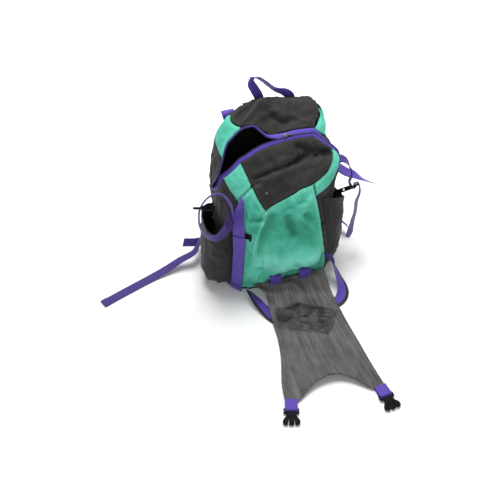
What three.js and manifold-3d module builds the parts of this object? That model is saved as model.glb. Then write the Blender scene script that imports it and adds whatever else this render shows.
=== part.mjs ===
// A small sports backpack standing with its top zip half open and its front flap laid out on
// the ground. Millimetres, X to the viewer's right, front towards -Y, Z up from the flat base.
import * as THREE from 'three';
import { mergeVertices } from 'three/addons/utils/BufferGeometryUtils.js';
import Module from 'manifold-3d';

const CLOTH = 2;
const SEAM_GAP = 0.8;
const SEAM_TURN = 0.6;
const ANGLE_STEP = 9;
const ROW_STEP = 27;
const DEGREE_RUN = 2.1;
const HEM = 2.4;
const TOP = 362;
const SIDE_SEAM = 150;
const BACK_EDGE = 140;
const POCKET_LEFT = -43;
const POCKET_RIGHT = 34;
const ZIP_TAPE = 4.3;
const WEBBING = { wide: 25, narrow: 20, thick: 1.5 };
const PAD = { wide: 58, thick: 12 };
const BUCKLE = { wide: 34, thick: 9, socket: 24, ladder: 18, plate: 4 };

const LOOKS = {
  charcoal: { color: 0x3a3836, roughness: 0.85 },
  teal: { color: 0x3fb598, roughness: 0.8 },
  purple: { color: 0x4f3da6, roughness: 0.7 },
  lining: { color: 0x5e5c59, roughness: 0.55 },
  plastic: { color: 0x1d1d1f, roughness: 0.45 },
  metal: { color: 0x8d8f94, roughness: 0.35, metalness: 0.9 },
};

const bag = new THREE.Group();

function addPiece(name, look, geometry) {
  const { color, roughness, metalness = 0 } = LOOKS[look];
  const mesh = new THREE.Mesh(geometry, new THREE.MeshStandardMaterial({ color, roughness, metalness }));
  mesh.name = name;
  bag.add(mesh);
  return mesh;
}

// Each row is a level cut through the slumped bag: half its width, its front and back, and how
// square its corners are.
const SECTIONS = [
  { height: 0, shift: -5, half: 112, front: -99, back: 85, square: 4.6 },
  { height: 40, shift: -4, half: 118, front: -108, back: 90, square: 3.8 },
  { height: 90, shift: -3, half: 120, front: -111, back: 93, square: 3.2 },
  { height: 150, shift: -3, half: 123, front: -105, back: 95, square: 3 },
  { height: 200, shift: -3, half: 124, front: -93, back: 96, square: 3 },
  { height: 240, shift: -1, half: 123, front: -73, back: 96, square: 3 },
  { height: 275, shift: 7, half: 122, front: -43, back: 96, square: 3 },
  { height: 305, shift: 11.5, half: 118.5, front: -8, back: 96, square: 3 },
  { height: 330, shift: 26, half: 110, front: 27, back: 95, square: 3 },
  { height: 347, shift: 31, half: 94, front: 53, back: 93, square: 3.1 },
  { height: 358, shift: 33, half: 76, front: 66, back: 91, square: 3.6 },
  { height: 362, shift: 32.5, half: 64, front: 71, back: 89, square: 4 },
];

// Soft bulges: centre, how far each reaches and how it moves the cloth.
const BULGES = [
  { x: 125, y: -20, z: 255, reach: 70, dx: 20, dy: -8, dz: 0 },
  { x: -45, y: 30, z: 330, reach: 55, dx: 0, dy: 8, dz: 10 },
  { x: 60, y: -35, z: 285, reach: 45, dx: 0, dy: 4, dz: -8 },
];

// Folds run from one place on the cloth to another. A positive depth sinks in, a negative stands out.
const FOLDS = [
  { angle: -23, height: 258, toAngle: 4, toHeight: 281, reach: 14, depth: 4 },
  { angle: 8, height: 287, toAngle: 46, toHeight: 282, reach: 20, depth: 11 },
  { angle: -2, height: 258, toAngle: 14, toHeight: 258, reach: 26, depth: 5 },
  { angle: -31, height: 325, toAngle: -16, toHeight: 344, reach: 20, depth: -4 },
  { angle: -2, height: 334, toAngle: 12, toHeight: 336, reach: 26, depth: 6 },
  { angle: -12, height: 208, toAngle: -26, toHeight: 122, reach: 13, depth: -5 },
  { angle: -5, height: 200, toAngle: -16, toHeight: 130, reach: 17, depth: 5 },
  { angle: 1, height: 196, toAngle: 7, toHeight: 152, reach: 26, depth: 8 },
  { angle: 14, height: 190, toAngle: 20, toHeight: 168, reach: 20, depth: 6 },
  { angle: -10, height: 70, toAngle: 12, toHeight: 72, reach: 46, depth: -5 },
];

// How far round the cloth has crept near the right edge of the front pocket, in degrees.
const CREEP = { base: 8, most: -12, mostHeight: 249, endHeight: 330 };

const signedPower = (value, power) => Math.sign(value) * Math.abs(value) ** power;
const softFall = (share) => (share < 1 ? (1 - share * share) ** 2 : 0);

function tableCurve(rows, key) {
  const columns = Object.keys(rows[0]).filter((column) => column !== key);
  const stops = rows.map((row) => row[key]);
  const values = rows.flatMap((row) => columns.map((column) => row[column]));
  const curve = new THREE.CubicInterpolant(stops, values, columns.length);
  return (at) => {
    const result = curve.evaluate(THREE.MathUtils.clamp(at, stops[0], stops[stops.length - 1]));
    return Object.fromEntries(columns.map((column, i) => [column, result[i]]));
  };
}

const sectionAt = tableCurve(SECTIONS, 'height');

function creepAt(height) {
  const { base, most, mostHeight, endHeight } = CREEP;
  if (height < mostHeight) return THREE.MathUtils.lerp(base, most, height / mostHeight);
  return most * Math.max(0, (endHeight - height) / (endHeight - mostHeight));
}

const sag = (x, height) => (0.13 * x + 0.0005 * x * x) * (height / TOP) ** 3;

function plainCloth(angle, height) {
  const { shift, half, front, back, square } = sectionAt(height);
  const crept = angle + creepAt(height) * softFall(Math.abs(angle - POCKET_RIGHT) / 34);
  const turn = THREE.MathUtils.degToRad(crept);
  const x = shift + half * signedPower(Math.sin(turn), 2 / square);
  const y = (front + back) / 2 - ((back - front) / 2) * signedPower(Math.cos(turn), 2 / square);
  const point = new THREE.Vector3(x, y, height - sag(x, height));
  const pushed = point.clone();
  for (const { x: bx, y: by, z: bz, reach, dx, dy, dz } of BULGES) {
    const weight = softFall(point.distanceTo(new THREE.Vector3(bx, by, bz)) / reach);
    pushed.addScaledVector(new THREE.Vector3(dx, dy, dz), weight);
  }
  return pushed;
}

function normalOf(surface, a, b, stepA, stepB) {
  const alongA = surface(a + stepA, b).sub(surface(a - stepA, b));
  const alongB = surface(a, b + stepB).sub(surface(a, b - stepB));
  return alongA.cross(alongB).normalize();
}

const foldLines = FOLDS.map(({ angle, height, toAngle, toHeight, reach, depth }) => ({
  line: new THREE.Line3(plainCloth(angle, height), plainCloth(toAngle, toHeight)),
  reach,
  depth,
}));

function bodyCloth(angle, height) {
  const point = plainCloth(angle, height);
  const nearest = new THREE.Vector3();
  let depth = 0;
  for (const fold of foldLines) {
    fold.line.closestPointToPoint(point, true, nearest);
    depth += fold.depth * softFall(point.distanceTo(nearest) / fold.reach);
  }
  if (depth === 0) return point;
  return point.addScaledVector(normalOf(plainCloth, angle, height, 0.5, 1), -depth);
}

const bodyNormal = (angle, height) => normalOf(bodyCloth, angle, Math.min(height, TOP - 1.2), 0.5, 1);

// A box divided into columns and rows, each corner of which is moved to its place.
function bentBox(columns, rows, place) {
  const box = new THREE.BoxGeometry(1, 1, 1, columns, 1, rows);
  box.deleteAttribute('normal');
  box.deleteAttribute('uv');
  const merged = mergeVertices(box, 1e-5);
  const at = merged.attributes.position;
  for (let i = 0; i < at.count; i += 1) {
    const moved = place(at.getX(i) + 0.5, at.getY(i) + 0.5, at.getZ(i) + 0.5);
    at.setXYZ(i, moved.x, moved.y, moved.z);
  }
  return merged;
}

// Seams of the body as heights at angles round it: 0 is the middle of the front, 90 the right side.
const seam = (...pairs) => pairs.map(([angle, height]) => ({ angle, height }));
const raised = (rows, by) => rows.map(({ angle, height }) => ({ angle, height: height + by }));

function heightOn(rows, angle) {
  let i = 0;
  while (i < rows.length - 2 && rows[i + 1].angle < angle) i += 1;
  const [a, b] = [rows[i], rows[i + 1]];
  const share = THREE.MathUtils.clamp((angle - a.angle) / (b.angle - a.angle), 0, 1);
  return a.height + (b.height - a.height) * share;
}

function between(rows, from, to) {
  const inside = rows.filter(({ angle }) => angle > from && angle < to);
  const ends = [from, to].map((angle) => ({ angle, height: heightOn(rows, angle) }));
  return [ends[0], ...inside, ends[1]];
}

const level = (height, from, to) => seam([from, height], [to, height]);

const ZIP_SHUT = [
  ...seam([1, 317.8], [12, 320], [35, 318.5], [46, 311]),
  ...seam([60, 297], [74, 274], [88, 235], [98, 200]),
];
const ZIP_FRONT = [
  ...seam([-96, 196], [-84, 230], [-71, 262], [-37, 293], [-14, 305.5]),
  ...raised(ZIP_SHUT, -ZIP_TAPE - 0.5),
];
const ZIP_REAR = [
  ...seam([-96, 206], [-87, 246], [-72, 287], [-62, 315], [-41, 325], [-22, 327.5], [-9, 323.5]),
  ...raised(ZIP_SHUT, ZIP_TAPE + 0.5),
];
const BAND_LEFT_OUTER = seam([-71, 262], [-51, 242.5], [POCKET_LEFT, 233]);
const BAND_LEFT_INNER = seam([-37, 293], [-23.5, 257], [-12, 213]);
const POCKET_TOP = seam([POCKET_LEFT, 233], [-33.5, 244.7], [-23.5, 257]);
const VEE_RIGHT = [
  ...seam([-12, 213], [-3, 224.5], [11.5, 239.5], [POCKET_RIGHT, 242.5], [41, 246], [48, 254.6]),
  ...seam([51, 269], [56, 281], [62.5, 288]),
];
const BAND_RIGHT_OUTER = [
  ...seam([POCKET_RIGHT, 218], [41, 220.5], [56, 224], [61.5, 250]),
  ...seam([68, 260], [77, 260.8]),
];
const CREASE = seam([-23.5, 257], [-3, 274], [14, 289], [33, 288.6], [51, 283.5], [56, 281]);
const REAR_LEFT_LOW = seam([-BACK_EDGE, 310], [-100, 298], [-71, 289.8]);
const REAR_LEFT_HIGH = seam([-112, TOP - 1], [-89, 340], [-60, 333], [-36, 325.7]);
const REAR_RIGHT_LOW = seam([47, 314.8], [75, 300], [BACK_EDGE, 310]);
const REAR_RIGHT_HIGH = seam([36, 322.6], [64, 346], [78, TOP - 1]);

const PANELS = [
  { name: 'side_lower_left', look: 'charcoal', lower: level(HEM, -BACK_EDGE, POCKET_LEFT),
    upper: level(SIDE_SEAM, -BACK_EDGE, POCKET_LEFT) },
  { name: 'side_lower_right', look: 'charcoal', lower: level(HEM, POCKET_RIGHT, BACK_EDGE),
    upper: level(SIDE_SEAM, POCKET_RIGHT, BACK_EDGE) },
  { name: 'front_side_left', look: 'charcoal', lower: level(SIDE_SEAM, -96, POCKET_LEFT),
    upper: [...between(ZIP_FRONT, -96, -71.2), ...BAND_LEFT_OUTER] },
  { name: 'front_side_right', look: 'charcoal', lower: level(SIDE_SEAM, POCKET_RIGHT, 98),
    upper: [...BAND_RIGHT_OUTER, ...between(ZIP_FRONT, 77.2, 98)] },
  { name: 'front_band_left', look: 'teal',
    lower: [...BAND_LEFT_OUTER, ...between(POCKET_TOP, -42.8, -23.5)],
    upper: [...between(ZIP_FRONT, -71, -37.2), ...between(BAND_LEFT_INNER, -37, -23.5)] },
  { name: 'front_band_right', look: 'teal', lower: BAND_RIGHT_OUTER,
    upper: [...between(VEE_RIGHT, POCKET_RIGHT, 62.5), ...between(ZIP_FRONT, 62.7, 77)] },
  { name: 'front_pocket', look: 'teal', lower: level(HEM, POCKET_LEFT, POCKET_RIGHT),
    upper: [
      ...POCKET_TOP,
      ...between(BAND_LEFT_INNER, -23.3, -12),
      ...between(VEE_RIGHT, -11.8, POCKET_RIGHT),
    ] },
  { name: 'pocket_vee', look: 'charcoal',
    lower: [...between(BAND_LEFT_INNER, -23.5, -12), ...between(VEE_RIGHT, -11.8, 56)], upper: CREASE },
  { name: 'front_yoke', look: 'charcoal',
    lower: [...between(BAND_LEFT_INNER, -37, -23.7), ...CREASE, ...between(VEE_RIGHT, 56.2, 62.5)],
    upper: between(ZIP_FRONT, -37, 62.5) },
  { name: 'rear_side_left', look: 'charcoal',
    lower: [...level(SIDE_SEAM, -BACK_EDGE, -96.5), ...between(ZIP_REAR, -95.5, -71)],
    upper: REAR_LEFT_LOW },
  { name: 'rear_side_right', look: 'charcoal',
    lower: [...between(ZIP_REAR, 47, 97.5), ...level(SIDE_SEAM, 98.5, BACK_EDGE)],
    upper: REAR_RIGHT_LOW },
  { name: 'rear_band_left', look: 'teal',
    lower: [...REAR_LEFT_LOW, ...between(ZIP_REAR, -70.8, -36)],
    upper: [...level(TOP - 1, -BACK_EDGE, -112.2), ...REAR_LEFT_HIGH] },
  { name: 'rear_band_right', look: 'teal',
    lower: [...between(ZIP_REAR, 36, 46.8), ...REAR_RIGHT_LOW],
    upper: [...REAR_RIGHT_HIGH, ...level(TOP - 1, 78.2, BACK_EDGE)] },
  { name: 'rear_top', look: 'charcoal',
    lower: [...REAR_LEFT_HIGH, ...between(ZIP_REAR, -35.8, 35.8), ...REAR_RIGHT_HIGH],
    upper: level(TOP - 1, -112, 78) },
  { name: 'back_panel', look: 'charcoal', lower: level(HEM, BACK_EDGE, 360 - BACK_EDGE),
    upper: level(TOP - 1, BACK_EDGE, 360 - BACK_EDGE) },
  { name: 'zip_tape_front', look: 'purple', lower: between(ZIP_FRONT, -95, 97),
    upper: raised(between(ZIP_FRONT, -95, 97), ZIP_TAPE), rows: 1 },
  { name: 'zip_tape_rear', look: 'purple', lower: raised(between(ZIP_REAR, -95, 97), -ZIP_TAPE),
    upper: between(ZIP_REAR, -95, 97), rows: 1 },
];

function seamGap(rows, angle) {
  const rise = (heightOn(rows, angle + 0.4) - heightOn(rows, angle - 0.4)) / 0.8 / DEGREE_RUN;
  return (SEAM_GAP / 2) * Math.min(Math.hypot(1, rise), 4);
}

// One sewn panel: columns stand at the seams' corners and at even steps between them, and a corner
// where two seams run together stops short.
function panelColumns(lower, upper) {
  const from = lower[0].angle + SEAM_TURN;
  const to = lower[lower.length - 1].angle - SEAM_TURN;
  const angles = [from, to, ...lower.map((row) => row.angle), ...upper.map((row) => row.angle)];
  for (let a = Math.ceil(from / ANGLE_STEP) * ANGLE_STEP; a < to; a += ANGLE_STEP) angles.push(a);
  const sorted = angles.filter((a) => a >= from && a <= to).sort((a, b) => a - b);
  const spaced = sorted.filter((a, i) => i === 0 || a - sorted[i - 1] > 0.15);
  const columns = spaced.map((angle) => ({
    angle,
    low: heightOn(lower, angle) + seamGap(lower, angle),
    high: heightOn(upper, angle) - seamGap(upper, angle),
  }));
  const least = 1.6;
  const open = (column) => column !== undefined && column.high - column.low > least;
  return columns.flatMap((column, i) => {
    const before = columns[i - 1];
    const after = columns[i + 1];
    if (!open(column)) return [];
    const start = before && !open(before) ? [corner(before, column, least)] : [];
    const end = after && !open(after) ? [corner(after, column, least)] : [];
    return [...start, column, ...end];
  });
}

function corner(shut, wide, least) {
  const gapShut = shut.high - shut.low;
  const share = (least - gapShut) / (wide.high - wide.low - gapShut);
  const mix = (key) => THREE.MathUtils.lerp(shut[key], wide[key], share);
  return { angle: mix('angle'), low: mix('low'), high: mix('high') };
}

for (const { name, look, lower, upper, rows } of PANELS) {
  const columns = panelColumns(lower, upper);
  const tallest = Math.max(...columns.map(({ low, high }) => high - low));
  const count = rows ?? Math.max(2, Math.round(tallest / ROW_STEP));
  addPiece(name, look, bentBox(columns.length - 1, count, (across, deep, up) => {
    const { angle, low, high } = columns[Math.round(across * (columns.length - 1))];
    const height = low + (high - low) * up;
    return bodyCloth(angle, height).addScaledVector(bodyNormal(angle, height), -CLOTH * deep);
  }));
}

// Panels that shut the body below and above: a disc whose rim is moved to the body's outline.
function endPanel(height, lift) {
  const disc = new THREE.CylinderGeometry(1, 1, CLOTH, 36, 1).rotateX(Math.PI / 2);
  disc.deleteAttribute('normal');
  disc.deleteAttribute('uv');
  const panel = mergeVertices(disc, 1e-5);
  const middle = bodyCloth(0, height).add(bodyCloth(180, height)).multiplyScalar(0.5);
  const at = panel.attributes.position;
  for (let i = 0; i < at.count; i += 1) {
    const [x, y, z] = [at.getX(i), at.getY(i), at.getZ(i)];
    const rim = bodyCloth(THREE.MathUtils.radToDeg(Math.atan2(x, -y)), height);
    const place = middle.clone().lerp(rim, Math.hypot(x, y));
    at.setXYZ(i, place.x, place.y, place.z + lift + z);
  }
  return panel;
}

addPiece('bottom_panel', 'charcoal', endPanel(0, CLOTH / 2));
addPiece('top_panel', 'charcoal', endPanel(TOP, CLOTH / 2));

// Open side pockets: the cloth stands out from the body, tucks in below and is open above.
const SIDE_POCKETS = [
  { name: 'side_pocket_left',
    mouth: seam([-104, 152], [-92, 149], [-78, 149], [-66, 154], [-59.5, 158]),
    stand: 38, less: 7, tuck: 16, full: 0.42, floor: 20 },
  { name: 'side_pocket_right',
    mouth: seam([40, 207], [51, 202], [63, 187], [75, 166], [85, 155], [104, 150]),
    stand: 16, less: -5, tuck: 90, full: 0.7, floor: 4 },
];
const POCKET_SEAT = 2.8;

for (const { name, mouth, stand, less, tuck, full, floor } of SIDE_POCKETS) {
  const from = mouth[0].angle;
  const to = mouth[mouth.length - 1].angle;
  const pocketCloth = (angle, height) => {
    const round = THREE.MathUtils.clamp((angle - from) / (to - from), 0, 1);
    const under = Math.max(0, 1 - (height - floor) / tuck);
    const most = stand - (less * height) / SIDE_SEAM;
    const out = POCKET_SEAT + most * Math.sin(Math.PI * round) ** full * (1 - under ** 2);
    return plainCloth(angle, height).addScaledVector(normalOf(plainCloth, angle, height, 0.5, 1), out);
  };
  addPiece(name, 'charcoal', bentBox(12, 8, (across, deep, up) => {
    const angle = from + (to - from) * (0.5 - 0.5 * Math.cos(Math.PI * across));
    const height = floor + (heightOn(mouth, angle) - floor) * up ** 1.7;
    const inside = THREE.MathUtils.clamp(angle, from + 0.5, to - 0.5);
    const face = normalOf(pocketCloth, inside, Math.max(height, floor + 1.2), 0.3, 1);
    return pocketCloth(angle, height).addScaledVector(face, -CLOTH * deep);
  }));
}

// Webbing is a flat strip swept along a smooth run. Rows give its middle. Its width lies along
// `across`, or its face along each row's own face, and turn rolls it round the run.
function strip(rows, { wide = WEBBING.wide, thick = WEBBING.thick, steps = 22, across, point = 0 }) {
  const middles = rows.map(({ x, y, z }) => new THREE.Vector3(x, y, z));
  const run = new THREE.CatmullRomCurve3(middles, false, 'centripetal');
  const last = rows.length - 1;
  const station = (share) => {
    const t = run.getUtoTmapping(share);
    const i = Math.min(Math.floor(t * last), last - 1);
    const mix = t * last - i;
    const turn = THREE.MathUtils.lerp(rows[i].turn ?? 0, rows[i + 1].turn ?? 0, mix);
    const along = run.getTangent(t);
    const side = across ? across.clone() : rows[i].face.clone().lerp(rows[i + 1].face, mix).cross(along);
    side.addScaledVector(along, -side.dot(along)).normalize();
    side.applyAxisAngle(along, THREE.MathUtils.degToRad(turn));
    const tip = point > 0 ? Math.min(1, (1 - share) * (run.getLength() / point) + 0.04) : 1;
    return { middle: run.getPoint(t), out: along.cross(side), side, tip };
  };
  const stations = Array.from({ length: steps + 1 }, (_, i) => station(i / steps));
  return bentBox(1, steps, (over, deep, along) => {
    const { middle, out, side, tip } = stations[Math.round(along * steps)];
    const edge = middle.clone().addScaledVector(side, (over - 0.5) * wide * tip);
    return edge.addScaledVector(out, (deep - 0.5) * thick);
  });
}

const vector = (x, y, z) => new THREE.Vector3(x, y, z);
const UPRIGHT = vector(0, 0, 1);
const LEVEL = vector(1, 0, 0);

function onBody({ angle, height, lift, turn }) {
  const face = bodyNormal(angle, height);
  const { x, y, z } = bodyCloth(angle, height).addScaledVector(face, lift);
  return { x, y, z, turn, face };
}

// Sets a piece with its length along one direction and its flat face towards another.
function setPiece(mesh, at, along, face) {
  const x = along.clone().normalize();
  const z = face.clone().addScaledVector(x, -face.dot(x)).normalize();
  mesh.quaternion.setFromRotationMatrix(new THREE.Matrix4().makeBasis(x, z.clone().cross(x), z));
  mesh.position.copy(at);
}

// The compression strap runs down the left front corner, twisted at its top, over its slider.
const COMPRESSION_RUN = [
  { angle: -35, height: 240, lift: 14, turn: 72 },
  { angle: -38, height: 222, lift: 14, turn: 44 },
  { angle: -41, height: 202, lift: 13, turn: 12 },
  { angle: -42, height: 178, lift: 12, turn: 0 },
  { angle: -43, height: 156, lift: 10, turn: 0 },
  { angle: -45, height: 128, lift: 7, turn: 0 },
  { angle: -48, height: 66, lift: 6, turn: 0 },
  { angle: -49.5, height: 26, lift: 6, turn: 0 },
  { angle: -50, height: 5, lift: 6, turn: 0 },
];
const compressionRows = COMPRESSION_RUN.map(onBody);
addPiece('compression_strap_left', 'purple', strip(compressionRows, { steps: 24 }));

// The slider is a black channel under the strap with an ear on each side of it.
const SLIDER = { long: 14, half: 17.5, ear: 3.5, base: 2, under: 5, over: 2.5 };
const sliderCut = new THREE.Shape();
sliderCut.moveTo(-SLIDER.half, -SLIDER.under);
sliderCut.lineTo(SLIDER.half, -SLIDER.under);
sliderCut.lineTo(SLIDER.half, SLIDER.over);
sliderCut.lineTo(SLIDER.half - SLIDER.ear, SLIDER.over);
sliderCut.lineTo(SLIDER.half - SLIDER.ear, SLIDER.base - SLIDER.under);
sliderCut.lineTo(SLIDER.ear - SLIDER.half, SLIDER.base - SLIDER.under);
sliderCut.lineTo(SLIDER.ear - SLIDER.half, SLIDER.over);
sliderCut.lineTo(-SLIDER.half, SLIDER.over);
const sliderSolid = new THREE.ExtrudeGeometry(sliderCut, { depth: SLIDER.long, bevelEnabled: false });
sliderSolid.translate(0, 0, -SLIDER.long / 2).rotateX(Math.PI / 2).rotateZ(Math.PI / 2);
const sliderSeat = compressionRows[4];
const sliderRun = vector(compressionRows[5].x, compressionRows[5].y, compressionRows[5].z)
  .sub(vector(compressionRows[3].x, compressionRows[3].y, compressionRows[3].z));
const sliderAt = vector(sliderSeat.x, sliderSeat.y, sliderSeat.z);
setPiece(addPiece('compression_slider', 'plastic', sliderSolid), sliderAt, sliderRun, sliderSeat.face);

// Female buckle: a socket open at one end, with side windows, and a two-slot ladder at the other.
const wasm = await Module();
wasm.setup();

function toSolid(geometry) {
  const bare = geometry.clone();
  bare.deleteAttribute('normal');
  bare.deleteAttribute('uv');
  const { attributes, index } = mergeVertices(bare, 1e-4);
  const vertProperties = Float32Array.from(attributes.position.array);
  const triVerts = Uint32Array.from(index.array);
  return new wasm.Manifold(new wasm.Mesh({ numProp: 3, vertProperties, triVerts }));
}

function toGeometry(solid) {
  const { vertProperties, triVerts } = solid.getMesh();
  const geometry = new THREE.BufferGeometry();
  geometry.setAttribute('position', new THREE.BufferAttribute(vertProperties, 3));
  return geometry.setIndex(new THREE.BufferAttribute(triVerts, 1));
}

const block = (x0, x1, half, thick) => toSolid(
  new THREE.BoxGeometry(x1 - x0, half * 2, thick).translate((x0 + x1) / 2, 0, 0),
);

function femaleBuckle() {
  const { wide, thick, socket, ladder, plate } = BUCKLE;
  const half = wide / 2;
  let solid = block(-socket, 0.5, half, thick).add(block(0, ladder, half, plate));
  solid = solid.subtract(block(-socket - 1, -4, half - 3, thick - 3.4));
  solid = solid.subtract(block(-socket + 7, -8, half + 1, thick - 5));
  solid = solid.subtract(block(2, 7, half - 3.2, plate + 1));
  solid = solid.subtract(block(10, 15, half - 3.2, plate + 1));
  return toGeometry(solid);
}

// Directions of the plane that the loose straps at the sides hang in.
const RIGHTWARD = vector(0.951, -0.309, 0);
const TOWARD = vector(-0.211, -0.649, 0.731);
const UPWARD = TOWARD.clone().cross(RIGHTWARD);

// The left closure strap leaves the body, bends round in a ring and passes the buckle's first slot.
const RING_CENTRE = vector(-147.7, -84.8, 227.2);
const RING_RUN = [
  { right: 27.5, rise: -6.5, near: -45.5, turn: 42 },
  { right: 23, rise: -18, near: -30, turn: 44 },
  { right: 14, rise: -34, near: -10, turn: 42 },
  { right: -4, rise: -46, near: 0, turn: 30 },
  { right: -22, rise: -38, near: 0, turn: 8 },
  { right: -33, rise: -19, near: 0, turn: 0 },
  { right: -36, rise: 2, near: 0, turn: 0 },
  { right: -33, rise: 18, near: 0, turn: 0 },
  { right: -21, rise: 36, near: 0, turn: 0 },
  { right: -5, rise: 46, near: 0, turn: 0 },
  { right: 10, rise: 45, near: 0, turn: 0 },
  { right: 22, rise: 34, near: 0, turn: 0 },
  { right: 30, rise: 17, near: 0, turn: 0 },
  { right: 32, rise: -3, near: 0, turn: 0 },
];
const inRing = ({ right, rise, near, turn = 0 }) => {
  const at = RING_CENTRE.clone().addScaledVector(RIGHTWARD, right).addScaledVector(UPWARD, rise);
  at.addScaledVector(TOWARD, near);
  return { x: at.x, y: at.y, z: at.z, turn };
};
addPiece('closure_strap_left', 'purple', strip(RING_RUN.map(inRing), { across: TOWARD, steps: 36 }));
const ringBuckleAt = inRing({ right: -28.6, rise: 18, near: 0 });
setPiece(addPiece('closure_buckle_left', 'plastic', femaleBuckle()),
  vector(ringBuckleAt.x, ringBuckleAt.y, ringBuckleAt.z), RIGHTWARD.clone().negate(), UPWARD);

// The right closure strap drops into its buckle, wraps the ladder's bar and hangs down as a tail.
const LADDER_AT = vector(156.2, -37.3, 175);
const LADDER_RUN = vector(0.987, 0, 0.163);
const LADDER_FACE = UPWARD.clone().addScaledVector(LADDER_RUN, -UPWARD.dot(LADDER_RUN)).normalize();
const LADDER_WRAP = [
  { run: 4.5, rise: 11 },
  { run: 4.5, rise: 2 },
  { run: 5, rise: -3 },
  { run: 8.5, rise: -5 },
  { run: 12, rise: -3 },
  { run: 12.5, rise: 2 },
  { run: 13.4, rise: 5 },
  { run: 16.5, rise: 6.4 },
  { run: 19.5, rise: 4.6 },
  { run: 21, rise: -2 },
];
const onLadder = ({ run, rise }) => {
  const { x, y, z } = LADDER_AT.clone().addScaledVector(LADDER_RUN, run).addScaledVector(LADDER_FACE, rise);
  return { x, y, z, turn: 0 };
};
const CLOSURE_RIGHT = [
  { x: 141, y: 2, z: 226, turn: 50 },
  { x: 150, y: -2, z: 228, turn: 45 },
  { x: 159, y: -11, z: 224, turn: 25 },
  { x: 163, y: -20, z: 214, turn: 5 },
  { x: 163.6, y: -27, z: 201, turn: 5 },
  ...LADDER_WRAP.map(onLadder),
  { x: 179.5, y: -36.8, z: 152, turn: 8 },
  { x: 175, y: -39, z: 130, turn: 12 },
  { x: 172, y: -42, z: 103, turn: 16 },
  { x: 166.5, y: -44.5, z: 78, turn: 26 },
  { x: 162, y: -47, z: 55, turn: 36 },
  { x: 160, y: -48, z: 32, turn: 40 },
];
const ladderSide = LADDER_FACE.clone().cross(LADDER_RUN);
const closureStrap = strip(CLOSURE_RIGHT, { across: ladderSide, steps: 60, point: 12 });
addPiece('closure_strap_right', 'purple', closureStrap);
setPiece(addPiece('closure_buckle_right', 'plastic', femaleBuckle()), LADDER_AT, LADDER_RUN, LADDER_FACE);

// Loose strap ends: one out from the right side, three from the lower back corners.
const LOOSE_STRAPS = [
  { name: 'side_strap_right', across: TOWARD, wide: WEBBING.wide, rows: [
    { x: 141, y: 16, z: 199, turn: 50 },
    { x: 153, y: 14, z: 186, turn: 46 },
    { x: 169, y: 8, z: 172, turn: 42 },
    { x: 182, y: 3, z: 168, turn: 38 },
    { x: 200, y: -6, z: 158, turn: 12 },
    { x: 221, y: -14, z: 148, turn: 0 },
  ] },
  { name: 'hip_strap_left', across: vector(0.32, -0.947, 0), wide: WEBBING.narrow, rows: [
    { x: -108, y: 92, z: 40, turn: 70 },
    { x: -130, y: 66, z: 42, turn: 62 },
    { x: -156, y: 35, z: 38, turn: 40 },
    { x: -172, y: 18, z: 29, turn: 22 },
    { x: -205, y: 14, z: 18, turn: 12 },
    { x: -240, y: 6, z: 8, turn: 6 },
    { x: -272, y: -2, z: 2.4, turn: 0 },
    { x: -330, y: -21, z: 1.3, turn: 0 },
    { x: -390, y: -42, z: 1.3, turn: 0 },
  ] },
  { name: 'shoulder_tail_left', across: UPRIGHT, wide: WEBBING.narrow, rows: [
    { x: -106, y: 94, z: 24, turn: 0 },
    { x: -122, y: 74, z: 19, turn: 0 },
    { x: -139, y: 58, z: 17, turn: 6 },
    { x: -160, y: 52, z: 22, turn: 12 },
    { x: -187, y: 50, z: 32, turn: 14 },
  ] },
  { name: 'hip_strap_right', across: UPRIGHT, wide: WEBBING.narrow, rows: [
    { x: 108, y: 92, z: 34, turn: 0 },
    { x: 132, y: 68, z: 34, turn: -20 },
    { x: 154, y: 34, z: 30, turn: -40 },
    { x: 173, y: -8, z: 26, turn: -50 },
  ] },
];
for (const { name, rows, across, wide } of LOOSE_STRAPS) {
  addPiece(name, 'purple', strip(rows, { across, wide, steps: 18 }));
}

// The grab loop stands on the top edge, its left leg face on and its right leg rolled edge on.
const GRAB_RUN = [
  { x: 1, y: 96.5, z: 332, turn: 0 },
  { x: 0, y: 98, z: 352, turn: 0 },
  { x: -9, y: 101, z: 374, turn: 8 },
  { x: -16, y: 103.5, z: 392, turn: 34 },
  { x: -7, y: 105, z: 404, turn: 78 },
  { x: 13, y: 104, z: 385, turn: 86 },
  { x: 28, y: 103, z: 367, turn: 84 },
  { x: 42, y: 102, z: 357, turn: 74 },
  { x: 56, y: 100.5, z: 350, turn: 44 },
  { x: 66, y: 98.5, z: 340, turn: 14 },
  { x: 69, y: 97.5, z: 320, turn: 0 },
];
addPiece('grab_loop', 'purple', strip(GRAB_RUN, { across: vector(0.93, 0, 0.37), wide: 20, steps: 34 }));

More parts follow.
